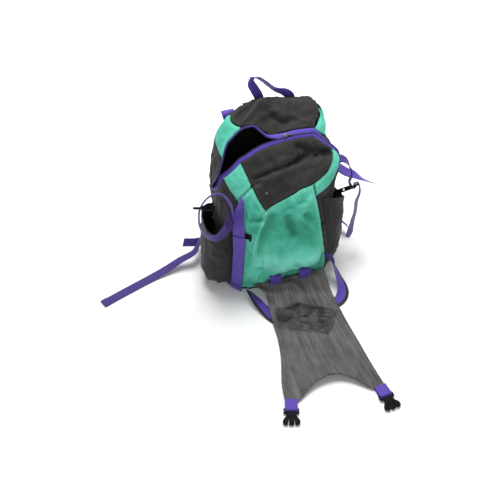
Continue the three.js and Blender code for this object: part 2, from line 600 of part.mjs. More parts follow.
// Padded shoulder straps behind the back panel, each with a lifter at its top and webbing below.
for (const [side, sign] of [['left', -1], ['right', 1]]) {
  const mirrored = (rows) => rows.map(({ x, y, z }) => ({ x: x * sign, y, z: z - sag(x * sign, z) }));
  const pad = mirrored([
    { x: 36, y: 106, z: 298 },
    { x: 36, y: 114, z: 298 },
    { x: 38, y: 124, z: 284 },
    { x: 44, y: 130, z: 254 },
    { x: 50, y: 130, z: 206 },
    { x: 56, y: 124, z: 164 },
    { x: 60, y: 115, z: 132 },
  ]);
  const padSize = { across: LEVEL, wide: PAD.wide, thick: PAD.thick, steps: 12 };
  addPiece(`shoulder_strap_${side}`, 'charcoal', strip(pad, padSize));
  const lifter = mirrored([
    { x: 62, y: 97.5, z: 305 },
    { x: 65, y: 99.5, z: 316 },
    { x: 66, y: 105, z: 321 },
    { x: 62, y: 118, z: 315 },
    { x: 55, y: 131, z: 293 },
    { x: 50, y: 137, z: 264 },
  ]);
  addPiece(`shoulder_lifter_${side}`, 'purple', strip(lifter, { across: LEVEL, steps: 16 }));
  const lower = mirrored([
    { x: 61, y: 113, z: 128 },
    { x: 68, y: 108, z: 100 },
    { x: 79, y: 101, z: 68 },
    { x: 88, y: 96.5, z: 40 },
    { x: 90, y: 93, z: 18 },
  ]);
  const lowerSize = { across: LEVEL, wide: WEBBING.narrow, steps: 10 };
  addPiece(`shoulder_webbing_${side}`, 'purple', strip(lower, lowerSize));
}

// The front flap lies open on the ground, lining up: side edges and the height of its underside by
// distance out from the bag, and a far edge that dips in between two horns.
const FLAP_SIDES = [
  { out: 109, left: -80, right: 77, lift: 12 },
  { out: 121, left: -63, right: 78, lift: 9 },
  { out: 145, left: -59, right: 78, lift: 4.6 },
  { out: 189, left: -66, right: 79, lift: 3.6 },
  { out: 242, left: -70, right: 80, lift: 3 },
  { out: 299, left: -82, right: 84, lift: 3 },
  { out: 357, left: -101, right: 87, lift: 3 },
  { out: 430, left: -112, right: 94, lift: 3 },
];
const FLAP_END = [
  { over: 0, out: 400, rise: 0 },
  { over: 0.13, out: 408, rise: 0 },
  { over: 0.22, out: 395, rise: 5 },
  { over: 0.36, out: 380, rise: 12 },
  { over: 0.5, out: 375, rise: 15 },
  { over: 0.65, out: 381, rise: 12 },
  { over: 0.78, out: 404, rise: 5 },
  { over: 0.88, out: 428, rise: 0 },
  { over: 1, out: 422, rise: 0 },
];
const flapSideAt = tableCurve(FLAP_SIDES, 'out');
const flapEndAt = tableCurve(FLAP_END, 'over');

function flapCloth(over, along) {
  const end = flapEndAt(over);
  const out = THREE.MathUtils.lerp(FLAP_SIDES[0].out, end.out, along);
  const { left, right, lift } = flapSideAt(out);
  const middle = Math.sin(Math.PI * along) * Math.sin(Math.PI * over);
  const wave = Math.max(0, 1.2 * Math.sin(over * 19 + along * 4) * middle);
  const height = lift + wave + end.rise * along ** 5;
  return vector(THREE.MathUtils.lerp(left, right, over), -out, height);
}

addPiece('flap', 'lining', bentBox(14, 13, (over, deep, along) => {
  const insideOver = THREE.MathUtils.clamp(over, 0.01, 0.99);
  const insideAlong = THREE.MathUtils.clamp(along, 0.01, 0.99);
  const down = normalOf(flapCloth, insideOver, insideAlong, 0.01, 0.01);
  return flapCloth(over, along).addScaledVector(down, -CLOTH * deep);
}));

// Webbing of the flap: two hinge straps that pass under its near edge and two side straps.
const HINGES = [
  { name: 'flap_hinge_left', x: -25 },
  { name: 'flap_hinge_right', x: 31 },
];
for (const { name, x } of HINGES) {
  const rows = [
    { x, y: -112, z: 40 },
    { x, y: -113, z: 31 },
    { x, y: -110, z: 18 },
    { x, y: -107, z: 8 },
    { x, y: -112, z: 2.2 },
    { x, y: -128, z: 1.4 },
    { x, y: -146, z: 1.4 },
  ];
  addPiece(name, 'purple', strip(rows, { across: LEVEL, steps: 14 }));
}
const FLAP_STRAPS = [
  { name: 'flap_strap_left', across: vector(0.94, -0.34, 0), rows: [
    { x: -89, y: -109, z: 12, turn: -58 },
    { x: -83, y: -132, z: 9, turn: -38 },
    { x: -73, y: -160, z: 4, turn: -14 },
    { x: -62, y: -186, z: 1.4, turn: 0 },
    { x: -50, y: -204, z: 1.4, turn: 0 },
  ] },
  { name: 'flap_strap_right', across: UPRIGHT, rows: [
    { x: 85, y: -112.5, z: 72, turn: 30 },
    { x: 95, y: -119, z: 46, turn: 42 },
    { x: 102, y: -135, z: 22, turn: 50 },
    { x: 105, y: -153, z: 12, turn: 60 },
    { x: 101, y: -171, z: 6, turn: 76 },
    { x: 88, y: -185, z: 1.9, turn: 90 },
    { x: 64, y: -194, z: 1.5, turn: 90 },
  ] },
];
for (const { name, rows, across } of FLAP_STRAPS) {
  addPiece(name, 'purple', strip(rows, { across, steps: 20 }));
}

// Tabs fold round the bars of the two male buckles at the flap's horns.
const TAB_RUN = [
  { run: -5, height: 6.5 },
  { run: 4, height: 6.9 },
  { run: 12, height: 8 },
  { run: 18, height: 8.2 },
  { run: 21.4, height: 7.4 },
  { run: 22.5, height: 5.2 },
  { run: 22.5, height: 3 },
  { run: 21, height: 1.3 },
  { run: 14, height: 1.1 },
  { run: 4, height: 1.2 },
  { run: -5, height: 1.4 },
];
const MALE_HALF = [
  { run: 0, half: 15.5 },
  { run: 10.5, half: 15.5 },
  { run: 12.5, half: 10 },
  { run: 16, half: 9 },
  { run: 20, half: 11.5 },
  { run: 25, half: 15.5 },
  { run: 30, half: 17.2 },
  { run: 35, half: 16.4 },
  { run: 37.5, half: 12.5 },
  { run: 37, half: 7 },
  { run: 21, half: 5.8 },
  { run: 21, half: 4.6 },
  { run: 36, half: 5.2 },
  { run: 38, half: 3.5 },
];
const MALE = { bar: 17, base: 2.4, thick: 4, slotFrom: 2.4, slotTo: 8, slotHalf: 13.2 };

function maleBuckle() {
  const upper = MALE_HALF.map(({ run, half }) => new THREE.Vector2(run, half));
  const lower = MALE_HALF.map(({ run, half }) => new THREE.Vector2(run, -half)).reverse();
  const outline = new THREE.Shape([...upper, ...lower]);
  const { slotFrom, slotTo, slotHalf } = MALE;
  outline.holes.push(new THREE.Path([
    new THREE.Vector2(slotFrom, -slotHalf),
    new THREE.Vector2(slotTo, -slotHalf),
    new THREE.Vector2(slotTo, slotHalf),
    new THREE.Vector2(slotFrom, slotHalf),
  ]));
  const solid = new THREE.ExtrudeGeometry(outline, { depth: MALE.thick, bevelEnabled: false });
  return solid.translate(MALE.bar, 0, MALE.base);
}

const HORNS = [
  { side: 'left', x: -97, y: -403, dx: -0.316, dy: -0.949 },
  { side: 'right', x: 83, y: -426, dx: 0.1, dy: -0.995 },
];
for (const { side, x, y, dx, dy } of HORNS) {
  const rows = TAB_RUN.map(({ run, height }) => ({ x: x + dx * run, y: y + dy * run, z: height }));
  addPiece(`flap_tab_${side}`, 'purple', strip(rows, { across: vector(dy, -dx, 0), steps: 34 }));
  const buckle = addPiece(`flap_buckle_${side}`, 'plastic', maleBuckle());
  setPiece(buckle, vector(x, y, 0), vector(dx, dy, 0), UPRIGHT);
}

// Small metal pieces: the zip's slider with its pull, and a snap on the front.
const pull = new THREE.Shape();
pull.moveTo(-4, -3.5);
pull.lineTo(4, -3.5);
pull.lineTo(4, -1.5);
pull.lineTo(14, -1.5);
pull.lineTo(14, 1.5);
pull.lineTo(4, 1.5);
pull.lineTo(4, 3.5);
pull.lineTo(-4, 3.5);
const placeOf = ({ x, y, z }) => vector(x, y, z);
const zipAt = onBody({ angle: 1, height: 317.8, lift: 1 });
const zipNext = onBody({ angle: 6, height: 318.8, lift: 1 });
const zipSolid = new THREE.ExtrudeGeometry(pull, { depth: 2.4, bevelEnabled: false });
const zipRun = placeOf(zipNext).sub(placeOf(zipAt));
setPiece(addPiece('zip_slider', 'metal', zipSolid), placeOf(zipAt), zipRun, zipAt.face);
const snapAt = onBody({ angle: -10, height: 245, lift: 1.4 });
const snapSolid = new THREE.CylinderGeometry(3, 3, 1.6, 12).rotateX(Math.PI / 2);
setPiece(addPiece('front_snap', 'metal', snapSolid), placeOf(snapAt), LEVEL, snapAt.face);

export default bag;
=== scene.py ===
import bpy
import math
from mathutils import Matrix, Quaternion, Vector, kdtree, noise
from mathutils.bvhtree import BVHTree


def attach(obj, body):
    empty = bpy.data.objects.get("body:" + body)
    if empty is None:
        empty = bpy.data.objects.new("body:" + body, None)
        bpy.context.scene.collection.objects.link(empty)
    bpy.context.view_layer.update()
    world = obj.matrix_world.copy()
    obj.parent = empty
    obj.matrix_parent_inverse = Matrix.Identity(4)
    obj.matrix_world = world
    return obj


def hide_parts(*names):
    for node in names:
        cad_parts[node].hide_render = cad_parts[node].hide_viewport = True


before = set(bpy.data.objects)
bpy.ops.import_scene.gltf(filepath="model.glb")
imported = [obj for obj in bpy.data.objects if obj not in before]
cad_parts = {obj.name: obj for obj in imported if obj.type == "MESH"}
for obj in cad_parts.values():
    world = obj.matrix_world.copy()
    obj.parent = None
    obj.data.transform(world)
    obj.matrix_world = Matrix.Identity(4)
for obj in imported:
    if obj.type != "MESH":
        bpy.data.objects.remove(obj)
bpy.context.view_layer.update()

# The studio: a pale paper floor under one broad soft lamp overhead and a weak one in front, as
# for a catalogue picture. The camera looks down on the bag from its front left.


def linear(code):
    shares = [int(code[i:i + 2], 16) / 255 for i in (0, 2, 4)]
    return [s / 12.92 if s <= 0.04045 else ((s + 0.055) / 1.055) ** 2.4 for s in shares] + [1.0]


def feed(material, node, inputs):
    """Sets a node's inputs, or links them where the value is another node's output."""
    for name, value in inputs.items():
        if isinstance(value, bpy.types.NodeSocket):
            material.node_tree.links.new(value, node.inputs[name])
        else:
            node.inputs[name].default_value = value


def add_node(material, kind, inputs=None, **settings):
    node = material.node_tree.nodes.new(kind)
    for name, value in settings.items():
        setattr(node, name, value)
    feed(material, node, inputs or {})
    return node


def new_material(name):
    """An empty material, with its shader and the coordinates its patterns follow."""
    material = bpy.data.materials.new(name)
    material.use_nodes = True
    return material, material.node_tree.nodes["Principled BSDF"], add_node(material, "ShaderNodeTexCoord").outputs


FLOOR_SIZE = 16
FLOOR_DROP = 0.0006
bpy.ops.object.select_all(action="DESELECT")
bpy.ops.mesh.primitive_plane_add(size=FLOOR_SIZE, location=(0, 0, -FLOOR_DROP))
bpy.ops.object.transform_apply(location=True, rotation=True, scale=True)
floor = bpy.context.object
floor.name = "studio_floor"
paper, paper_shader, paper_place = new_material("matt_studio_paper")
paper_fleck = add_node(paper, "ShaderNodeTexNoise", {"Scale": 40, "Detail": 4, "Vector": paper_place["Object"]})
paper_tone = add_node(paper, "ShaderNodeMix", {
    6: linear("f6f6f6"), 7: linear("fafafa"), 0: paper_fleck.outputs["Fac"]}, data_type="RGBA")
feed(paper, paper_shader, {"Base Color": paper_tone.outputs[2], "Roughness": 0.9})
floor.data.materials.append(paper)

sky = bpy.data.worlds.new("white_room")
bpy.context.scene.world = sky
sky.use_nodes = True
sky.node_tree.nodes["Background"].inputs["Color"].default_value = (1, 1, 1, 1)
sky.node_tree.nodes["Background"].inputs["Strength"].default_value = 0.36
for lamp, spot, aim, size, power in [
    ("overhead_lamp", (0.25, 0.75, 2.4), (0, -0.1, 0.1), 1.5, 78),
    ("front_lamp", (-0.9, -2.2, 1.5), (0, 0, 0.15), 1.6, 12),
]:
    bpy.ops.object.light_add(type="AREA", location=spot)
    light = bpy.context.object
    light.name = lamp
    light.data.size = size
    light.data.energy = power
    light.rotation_euler = (Vector(aim) - Vector(spot)).to_track_quat("-Z", "Y").to_euler()

bpy.ops.object.camera_add(location=(-0.5939, -1.6712, 1.8980), rotation=(math.radians(43), 0, math.radians(-18)))
camera = bpy.context.object
camera.data.lens = 85
camera.data.sensor_width = 36
bpy.context.scene.camera = camera
bpy.context.scene.view_settings.view_transform = "Standard"

# The bag's dark panels: charcoal nylon pack cloth, plain woven and a little faded, cut flat and
# sewn edge to edge with the seam turned in. Slack cloth crumples between the seams.
CLOTH_THICK = 0.0018
THREAD = 0.0016
# In mm: how deep and how wide a seam draws in, how far around it holds folds down, and the slack.
SEAM_DEPTH = 1.5
SEAM_WIDE = 3.4
SEAM_HOLD = 12
SLACK = 1.5
# The scale at which a wave pattern's bands are a metre apart.
METRE_BANDS = 0.31416


def woven_nylon(name, deep, shade, body, crest, thread=THREAD, rough=0.72):
    """Plain-woven cloth: warp over weft, an uneven fade, worn seams, painted highlight on crests, painted shade in
    hollows.
    """
    # The real thread is about 0.4 mm, too fine to show, so it is drawn four times as coarse.
    cloth, shader, place = new_material(name)
    bands = {
        "Scale": METRE_BANDS / thread, "Distortion": 0.8, "Detail": 2, "Detail Scale": 0.4, "Vector": place["UV"]}
    warp, weft = [add_node(cloth, "ShaderNodeTexWave", bands, bands_direction=way) for way in "XY"]
    over = add_node(cloth, "ShaderNodeMath", {0: warp.outputs["Fac"], 1: weft.outputs["Fac"]}, operation="SUBTRACT")
    weave = add_node(cloth, "ShaderNodeMath", {0: over.outputs[0]}, operation="ABSOLUTE")
    fade = add_node(
        cloth, "ShaderNodeTexNoise", {"Scale": 16, "Detail": 7, "Roughness": 0.64, "Vector": place["Object"]})
    fade_share = add_node(
        cloth, "ShaderNodeMapRange", {"From Min": 0.34, "From Max": 0.66, "Value": fade.outputs["Fac"]})
    faded = add_node(
        cloth, "ShaderNodeMix", {6: linear(shade), 7: linear(body), 0: fade_share.outputs[0]}, data_type="RGBA")
    # Paler a little in from the seams for wear, and paler on the fold crests as painted highlight.
    crests = add_node(cloth, "ShaderNodeAttribute", attribute_name="crest")
    with_wear_and_highlight = add_node(
        cloth, "ShaderNodeMix", {7: linear(crest), 0: crests.outputs["Fac"], 6: faded.outputs[2]}, data_type="RGBA")
    # Mixed to the deep colour: painted shade in the fold hollows, and a thin dark line along each seam.
    shade_and_edge_marks = add_node(cloth, "ShaderNodeAttribute", attribute_name="painted_shade_and_dark_edge")
    with_painted_shade = add_node(cloth, "ShaderNodeMix", {
        7: linear(deep), 0: shade_and_edge_marks.outputs["Fac"], 6: with_wear_and_highlight.outputs[2]}, data_type="RGBA")
    thread_shade = add_node(cloth, "ShaderNodeMapRange", {"To Min": 0.82, "To Max": 1.1, "Value": weave.outputs[0]})
    threads = add_node(cloth, "ShaderNodeMix", {
        0: 1.0, 6: with_painted_shade.outputs[2], 7: thread_shade.outputs[0]}, data_type="RGBA", blend_type="MULTIPLY")
    gloss = add_node(
        cloth, "ShaderNodeMapRange", {"To Min": rough + 0.1, "To Max": rough - 0.08, "Value": weave.outputs[0]})
    crumple = add_node(
        cloth, "ShaderNodeTexNoise", {"Scale": 85, "Detail": 5, "Roughness": 0.55, "Vector": place["Object"]})
    creased = add_node(
        cloth, "ShaderNodeBump", {"Strength": 0.35, "Distance": 0.0012, "Height": crumple.outputs["Fac"]})
    woven = add_node(cloth, "ShaderNodeBump", {
        "Strength": 0.3, "Distance": 0.0003, "Height": weave.outputs[0], "Normal": creased.outputs["Normal"]})
    feed(cloth, shader, {
        "Base Color": threads.outputs[2], "Roughness": gloss.outputs[0], "Normal": woven.outputs["Normal"],
        "Specular IOR Level": 0.3, "Sheen Weight": 0.08, "Sheen Roughness": 0.5})
    return cloth


charcoal = woven_nylon("charcoal_woven_nylon", "121212", "1f1e1d", "292827", "413f3d")
inside = woven_nylon("black_coated_lining", "060606", "0a0a0a", "101010", "161616", rough=0.85)

# Folds that stay in the cloth, in mm: the line of the fold, its half width and its height.
FOLDS = [
    ([(-46, -90, 210), (-60, -98, 182), (-71, -103, 151), (-78, -103, 121)], 4.5, 6),
    ([(-32, -93, 200), (-46, -101, 172), (-57, -106, 145), (-62, -107, 120)], 9, -8),
    ([(6, -88, 200), (32, -93, 174), (42, -96, 160), (63, -101, 136)], 4, 5),
    ([(4, -93, 187), (9, -99, 164), (13, -103, 143)], 8, -8),
    ([(42, -91, 178), (56, -94, 166)], 6, -6),
    ([(-24, -102, 172), (10, -100, 160), (48, -98, 150)], 30, -6),
    ([(57, -80, 219), (38, -88, 201), (27, -91, 186)], 5, 4),
    ([(-24, -90, 200), (7, -85, 207), (36, -83, 216)], 6, -4),
    ([(62, -85, 205), (74, -95, 160)], 5, 4),
    ([(-54, -109, 96), (-25, -116, 78), (4, -116, 76), (51, -113, 78)], 19, 17),
    ([(11, -115, 76), (29, -113, 56)], 5, -8),
    ([(-59, -108, 104), (-60, -112, 73)], 4, -5),
    ([(-89, -100, 51), (-51, -104, 22)], 7, 4),
    ([(-83, -99, 118), (-92, -97, 81)], 6, -6),
    ([(-79, -87, 196), (-56, -93, 198)], 4, -5),
    ([(-79, -89, 186), (-56, -95, 188)], 5, 4),
    ([(-55, -44, 269), (-18, -41, 274), (30, -27, 272), (64, -15, 272), (94, -18, 271), (124, -24, 270)],
     3.5, -6),
    ([(-55, -40, 279), (-18, -37, 284), (30, -22, 282), (64, -10, 282), (94, -13, 281)], 7, 3),
    ([(-51, -52, 258), (-11, -48, 264), (40, -32, 262), (90, -26, 260)], 8, 4),
    ([(49, -8, 296), (75, -13, 280), (113, -19, 271)], 7, -8),
    ([(3, 83, 363), (-29, 57, 354), (-57, 35, 341)], 6, 11),
    ([(-30, 78, 362), (-62, 52, 345)], 15, -7),
    ([(20, 70, 358), (-8, 40, 340)], 16, -5),
    ([(12, 50, 343), (22, 39, 333), (37, 34, 327), (52, 39, 328)], 6, -7),
    ([(24, 54, 345), (40, 48, 338)], 8, 3),
    ([(-135, -40, 62), (-118, -75, 70)], 8, -5),
    ([(132, -40, 150), (128, -30, 70)], 12, -5),
]
# Where the bag has slumped: the middle of the slump in mm, its reach and the way it moved.
SLUMPS = [
    ((-134, -54, 12), 27, (-13, -11, 0)), ((-146, -34, 44), 42, (-11, -3, 0)), ((70, 62, 358), 34, (0, -3, -9)),
    ((-38, 80, 362), 26, (0, 0, -8)), ((140, 5, 285), 48, (-12, 4, -5)), ((152, -22, 152), 13, (5, -3, 0)),
    ((0, 22, 327), 16, (0, -5, -6)),
]
# Where the cloth is pressed smooth over several seams, in mm, and how far around.
PRESSED = [(-37, 90, 358), (121, 53, 316), (112, 60, 322)]
PRESSED_REACH = 14
# One draw of the crumples, so that they are the same on every run.
CRUMPLE_DRAW = 4
noise.seed_set(CRUMPLE_DRAW)


def clamp(value, top=1.0):
    return max(0.0, min(top, value))


def bell(away, reach):
    """1 in the middle, fading out evenly past the reach."""
    return math.exp(-((away / reach) ** 2))


def off_line(spot, start, end):
    """How far a point is from the line between two others."""
    run = end - start
    share = clamp((spot - start).dot(run) / run.length_squared)
    return (spot - start - run * share).length


def slumped(spot):
    """Where a point of the sewn bag has sunk to."""
    moved = spot.copy()
    for middle, reach, way in SLUMPS:
        moved += Vector(way) / 1000 * bell((spot * 1000 - Vector(middle)).length, reach)
    return moved


def fold_height(spot, slack):
    """How far the cloth stands off its mean surface there, in mm."""
    height = 0.0
    for line, reach, rise in FOLDS:
        nearest = min(off_line(spot, Vector(start), Vector(end)) for start, end in zip(line, line[1:]))
        if nearest < 3 * reach:
            height += rise * bell(nearest, reach)
    bent = spot + 16 * noise.noise_vector(spot / 50)
    broad = noise.noise(bent / 55 + Vector((3.1, 7.7, 1.3)))
    drawn = Vector((bent.x / 30 + 1, bent.y / 30 + 5, bent.z / 52 + 2))
    pinch = (1 - abs(noise.noise(drawn))) ** 3 - 0.45
    crease = (1 - abs(noise.noise(bent / 30))) ** 6 - 0.3
    small = (1 - abs(noise.noise(bent / 13 + Vector((9.0, 2.0, 4.0))))) ** 4 - 0.4
    return height + slack * (1.6 * broad + 1.9 * pinch + 1.2 * crease + 0.6 * small)


def copy_of(node, name):
    """A copy of a CAD node with its loose triangles merged and its pairs made into quads."""
    bpy.ops.object.select_all(action="DESELECT")
    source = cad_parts[node]
    source.select_set(True)
    bpy.context.view_layer.objects.active = source
    bpy.ops.object.duplicate()
    piece = bpy.context.object
    piece.name = name
    piece.data.name = name
    piece.parent = None
    for mark in [key for key in piece.keys() if key.startswith("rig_")]:
        del piece[mark]
    piece.data.materials.clear()
    bpy.context.tool_settings.mesh_select_mode = (False, False, True)
    bpy.ops.object.mode_set(mode="EDIT")
    bpy.ops.mesh.select_all(action="SELECT")
    bpy.ops.mesh.customdata_custom_splitnormals_clear()
    bpy.ops.mesh.remove_doubles(threshold=0.00001)
    bpy.ops.mesh.tris_convert_to_quads(face_threshold=math.radians(60), shape_threshold=math.radians(170))
    bpy.ops.object.mode_set(mode="OBJECT")
    return piece


def edit(step, whole=True, **settings):
    """Runs one editing step on the whole of the active piece, or on what is picked of it."""
    bpy.ops.object.mode_set(mode="EDIT")
    if whole:
        bpy.ops.mesh.select_all(action="SELECT")
    step(**settings)
    bpy.ops.object.mode_set(mode="OBJECT")


# How far into a wall its other side is looked for, where the look starts, and the turn within a skin.
WALL_REACH = 0.006
WALL_START = 0.0003
SAME_SKIN = math.radians(60)


def keep_outside(piece, is_outside):
    """Leaves only the outer skin of the piece's thin wall: each smooth run of faces goes or stays whole."""
    mesh = piece.data
    tree = BVHTree.FromPolygons([v.co for v in mesh.vertices], [p.vertices for p in mesh.polygons])
    at_edge = {}
    for face in mesh.polygons:
        for key in face.edge_keys:
            at_edge.setdefault(key, []).append(face)
    left = set(range(len(mesh.polygons)))
    while left:
        skin = [mesh.polygons[left.pop()]]
        outside = 0.0
        for face in skin:
            under = tree.ray_cast(face.center - face.normal * WALL_START, -face.normal, WALL_REACH)[0]
            outside += face.area if under and is_outside(face.center, face.normal) else -face.area
            for other in [f for key in face.edge_keys for f in at_edge[key] if f.index in left]:
                if face.normal.angle(other.normal, 0) < SAME_SKIN:
                    left.discard(other.index)
                    skin.append(other)
        for face in skin:
            face.select = outside <= 0
    edit(bpy.ops.mesh.delete, False, type="FACE")


def outward(spot):
    """The way out from the middle of the bag through a point of its wall."""
    return spot - Vector((0.005, 0.04 if spot.z > 0.2 else 0.005, min(max(spot.z, 0.1), 0.2)))


def faces_out(center, normal):
    """True where a face of the bag's wall looks away from the middle of the bag."""
    return normal.dot(outward(center)) > 0


def lay_flat(piece):
    """Unwraps the panel to the flat pattern it was cut from, in metres, with the grain upright."""
    mesh = piece.data
    while mesh.uv_layers:
        mesh.uv_layers.remove(mesh.uv_layers[0])
    mesh.uv_layers.new(name="flat_pattern")
    edit(bpy.ops.uv.unwrap, method="CONFORMAL", margin=0.0)
    flat = mesh.uv_layers.active.data
    drawn = 0.0
    upright = Vector((0.0, 0.0))
    for face in mesh.polygons:
        loops = list(face.loop_indices)
        for here, there in zip(loops, loops[1:] + loops[:1]):
            a, b = flat[here].uv, flat[there].uv
            drawn += (a.x * b.y - b.x * a.y) / 2
            ends = [mesh.vertices[mesh.loops[corner].vertex_index].co.z for corner in (here, there)]
            upright += (b - a) * (ends[1] - ends[0])
    scale = math.sqrt(sum(face.area for face in mesh.polygons) / max(abs(drawn), 1e-9))
    turn = Matrix.Rotation(math.pi / 2 - math.atan2(upright.y, upright.x), 2)
    for corner in flat:
        corner.uv = turn @ corner.uv * scale


def modify(piece, kind, **settings):
    """Adds a modifier and applies it."""
    bpy.context.view_layer.objects.active = piece
    modifier = piece.modifiers.new(kind.lower(), kind)
    for name, value in settings.items():
        setattr(modifier, name, value)
    bpy.ops.object.modifier_apply(modifier=modifier.name)


def edge_chains(mesh):
    """The panel's open edges as rows of vertex numbers."""
    count = {}
    for face in mesh.polygons:
        for key in face.edge_keys:
            count[key] = count.get(key, 0) + 1
    ways = {}
    for (a, b), times in count.items():
        if times == 1:
            ways.setdefault(a, []).append(b)
            ways.setdefault(b, []).append(a)
    chains = []
    left = set(ways)
    while left:
        chain = [min(left)]
        left.discard(chain[0])
        while True:
            ahead = [n for n in ways[chain[-1]] if n in left]
            if not ahead:
                break
            chain.append(ahead[0])
            left.discard(ahead[0])
        chains.append(chain)
    return chains


def tree_of(spots):
    """The points, ready to find the nearest of them to a place."""
    tree = kdtree.KDTree(len(spots))
    for k, spot in enumerate(spots):
        tree.insert(spot, k)
    tree.balance()
    return tree


def pick_none(mesh):
    for part in (mesh.polygons, mesh.edges, mesh.vertices):
        for item in part:
            item.select = False


def corner_runs(mesh):
    """The panel's open edge, split at its corners into rows of vertex numbers."""
    loop = edge_chains(mesh)[0]
    spots = [mesh.vertices[i].co for i in loop]
    sharp = [k for k, spot in enumerate(spots)
             if (spot - spots[k - 1]).angle(spots[(k + 1) % len(spots)] - spot, 0) > math.radians(50)]
    turned = loop[sharp[0]:] + loop[:sharp[0] + 1]
    cuts = [k - sharp[0] for k in sharp] + [len(loop)]
    return [turned[a:b + 1] for a, b in zip(cuts, cuts[1:])]


def hold_corners(mesh):
    """Keeps the panel's corners where they are sewn when the panel is made smooth."""
    held = mesh.attributes.new("crease_vert", "FLOAT", "POINT")
    for chain in edge_chains(mesh):
        spots = [mesh.vertices[i].co for i in chain]
        for k, i in enumerate(chain):
            turn = (spots[k] - spots[k - 1]).angle(spots[(k + 1) % len(spots)] - spots[k], 0)
            held.data[i].value = 1.0 if turn > math.radians(40) else 0.0


def crumple(piece, slack, pull=SEAM_DEPTH):
    """Moves the cloth off its mean surface by its folds, and draws it in along the seams."""
    mesh = piece.data
    for v in mesh.vertices:
        v.co = slumped(v.co)
    near = tree_of([mesh.vertices[i].co for chain in edge_chains(mesh) for i in chain])
    normals = [v.normal.copy() for v in mesh.vertices]
    crest = mesh.attributes.new("crest", "FLOAT", "POINT")
    painted_shade_and_dark_edge = mesh.attributes.new("painted_shade_and_dark_edge", "FLOAT", "POINT")
    for v, normal in zip(mesh.vertices, normals):
        away = near.find(v.co)[2] * 1000
        spot = v.co * 1000
        rise = fold_height(spot, slack)
        pucker = 0.9 * noise.noise(spot / 6.5) * math.exp(-away / 9)
        hold = 1 - bell(away, SEAM_HOLD)
        lift = rise * hold + (pucker - pull) * bell(away, SEAM_WIDE) + pucker * 0.7
        v.co += normal * lift / 1000
        # Paler a little in from each seam for wear, and paler on the fold crests as painted highlight; darker in
        # the fold hollows as painted shade, and in a thin dark line at the seam.
        crest.data[v.index].value = clamp(0.08 + 0.035 * rise + 0.35 * bell(away - 4, 3), 0.6)
        painted_shade_and_dark_edge.data[v.index].value = clamp(-0.05 * rise * hold + 0.5 * math.exp(-away / 1.2), 0.6)


def press_seams(mesh):
    """Presses the cloth smooth where several seams meet under it."""
    bpy.context.tool_settings.mesh_select_mode = (True, False, False)
    pick_none(mesh)
    for v in mesh.vertices:
        v.select = any((v.co * 1000 - Vector(spot)).length < PRESSED_REACH for spot in PRESSED)
    edit(bpy.ops.mesh.vertices_smooth, False, factor=0.5, repeat=30)
    bpy.context.tool_settings.mesh_select_mode = (False, False, True)


def seat_at(spot, along, out):
    """The place of a small piece that lies along one way and faces another."""
    return Matrix.Translation(spot) @ Matrix((along, out.cross(along), out)).transposed().to_4x4()


LONGEST_EDGE = 0.02
OFF_CLOTH = 0.0022


def stitch_places(piece, inset=0.0034, step=0.0042):
    """Where the stitches of a seam row lie: on the cloth, a little in from its edge."""
    mesh = piece.data
    tree = BVHTree.FromPolygons([v.co for v in mesh.vertices], [p.vertices for p in mesh.polygons])
    places = []
    for chain in edge_chains(mesh):
        spots = [mesh.vertices[i].co for i in chain]
        spots.append(spots[0])
        behind = 0.0
        for a, b in zip(spots, spots[1:]):
            run = b - a
            while behind < run.length < LONGEST_EDGE:
                spot = a + run * (behind / run.length)
                normal, index = tree.find_nearest(spot)[1:3]
                middle = mesh.polygons[index].center
                inward = normal.cross(run.normalized())
                if inward.dot(middle - spot) < 0:
                    inward = -inward
                seat, lie, index, gap = tree.find_nearest(spot + inward * inset)
                along = (run - lie * run.dot(lie)).normalized()
                if gap < OFF_CLOTH:
                    places.append(seat_at(seat + lie * 0.0001, along, lie))
                behind += step
            behind -= run.length
    return places


SLIVER = 0.003


def sew_panel(nodes, name, cloth, slack=SLACK, pull=SEAM_DEPTH, extend=None, tuck=None):
    """One panel: the outer side of its CAD wall, made smooth, crumpled and given its thickness."""
    parts = []
    for node in nodes:
        part = copy_of(node, name)
        keep_outside(part, faces_out)
        parts.append(part)
    piece = parts[0]
    if len(parts) > 1:
        for part in parts:
            part.select_set(True)
        bpy.context.view_layer.objects.active = piece
        bpy.ops.object.join()
    bpy.ops.object.mode_set(mode="EDIT")
    bpy.ops.mesh.select_all(action="SELECT")
    bpy.ops.mesh.remove_doubles(threshold=SLIVER)
    bpy.ops.mesh.fill_holes(sides=8)
    bpy.ops.object.mode_set(mode="OBJECT")
    if extend:
        extend(piece)
    lay_flat(piece)
    hold_corners(piece.data)
    modify(piece, "SUBSURF", levels=3, render_levels=3, boundary_smooth="PRESERVE_CORNERS")
    crumple(piece, slack, pull)
    press_seams(piece.data)
    if tuck:
        tuck(piece)
    places = stitch_places(piece)
    piece.data.materials.append(cloth)
    piece.data.materials.append(inside)
    modify(piece, "SOLIDIFY", thickness=CLOTH_THICK, offset=-1, material_offset=1, material_offset_rim=0)
    bpy.ops.object.shade_smooth()
    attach(piece, "root")
    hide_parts(*nodes)
    return places


charcoal_seams = []
for node in ["side_lower_left", "side_lower_right", "front_side_left", "front_side_right", "rear_side_left",
             "rear_side_right", "back_panel"]:
    charcoal_seams += sew_panel([node], node + "_cloth", charcoal)
charcoal_seams += sew_panel(["pocket_vee", "front_yoke"], "front_yoke_cloth", charcoal)

BACK_SEAM = 0.0905
END_DROP = 0.005


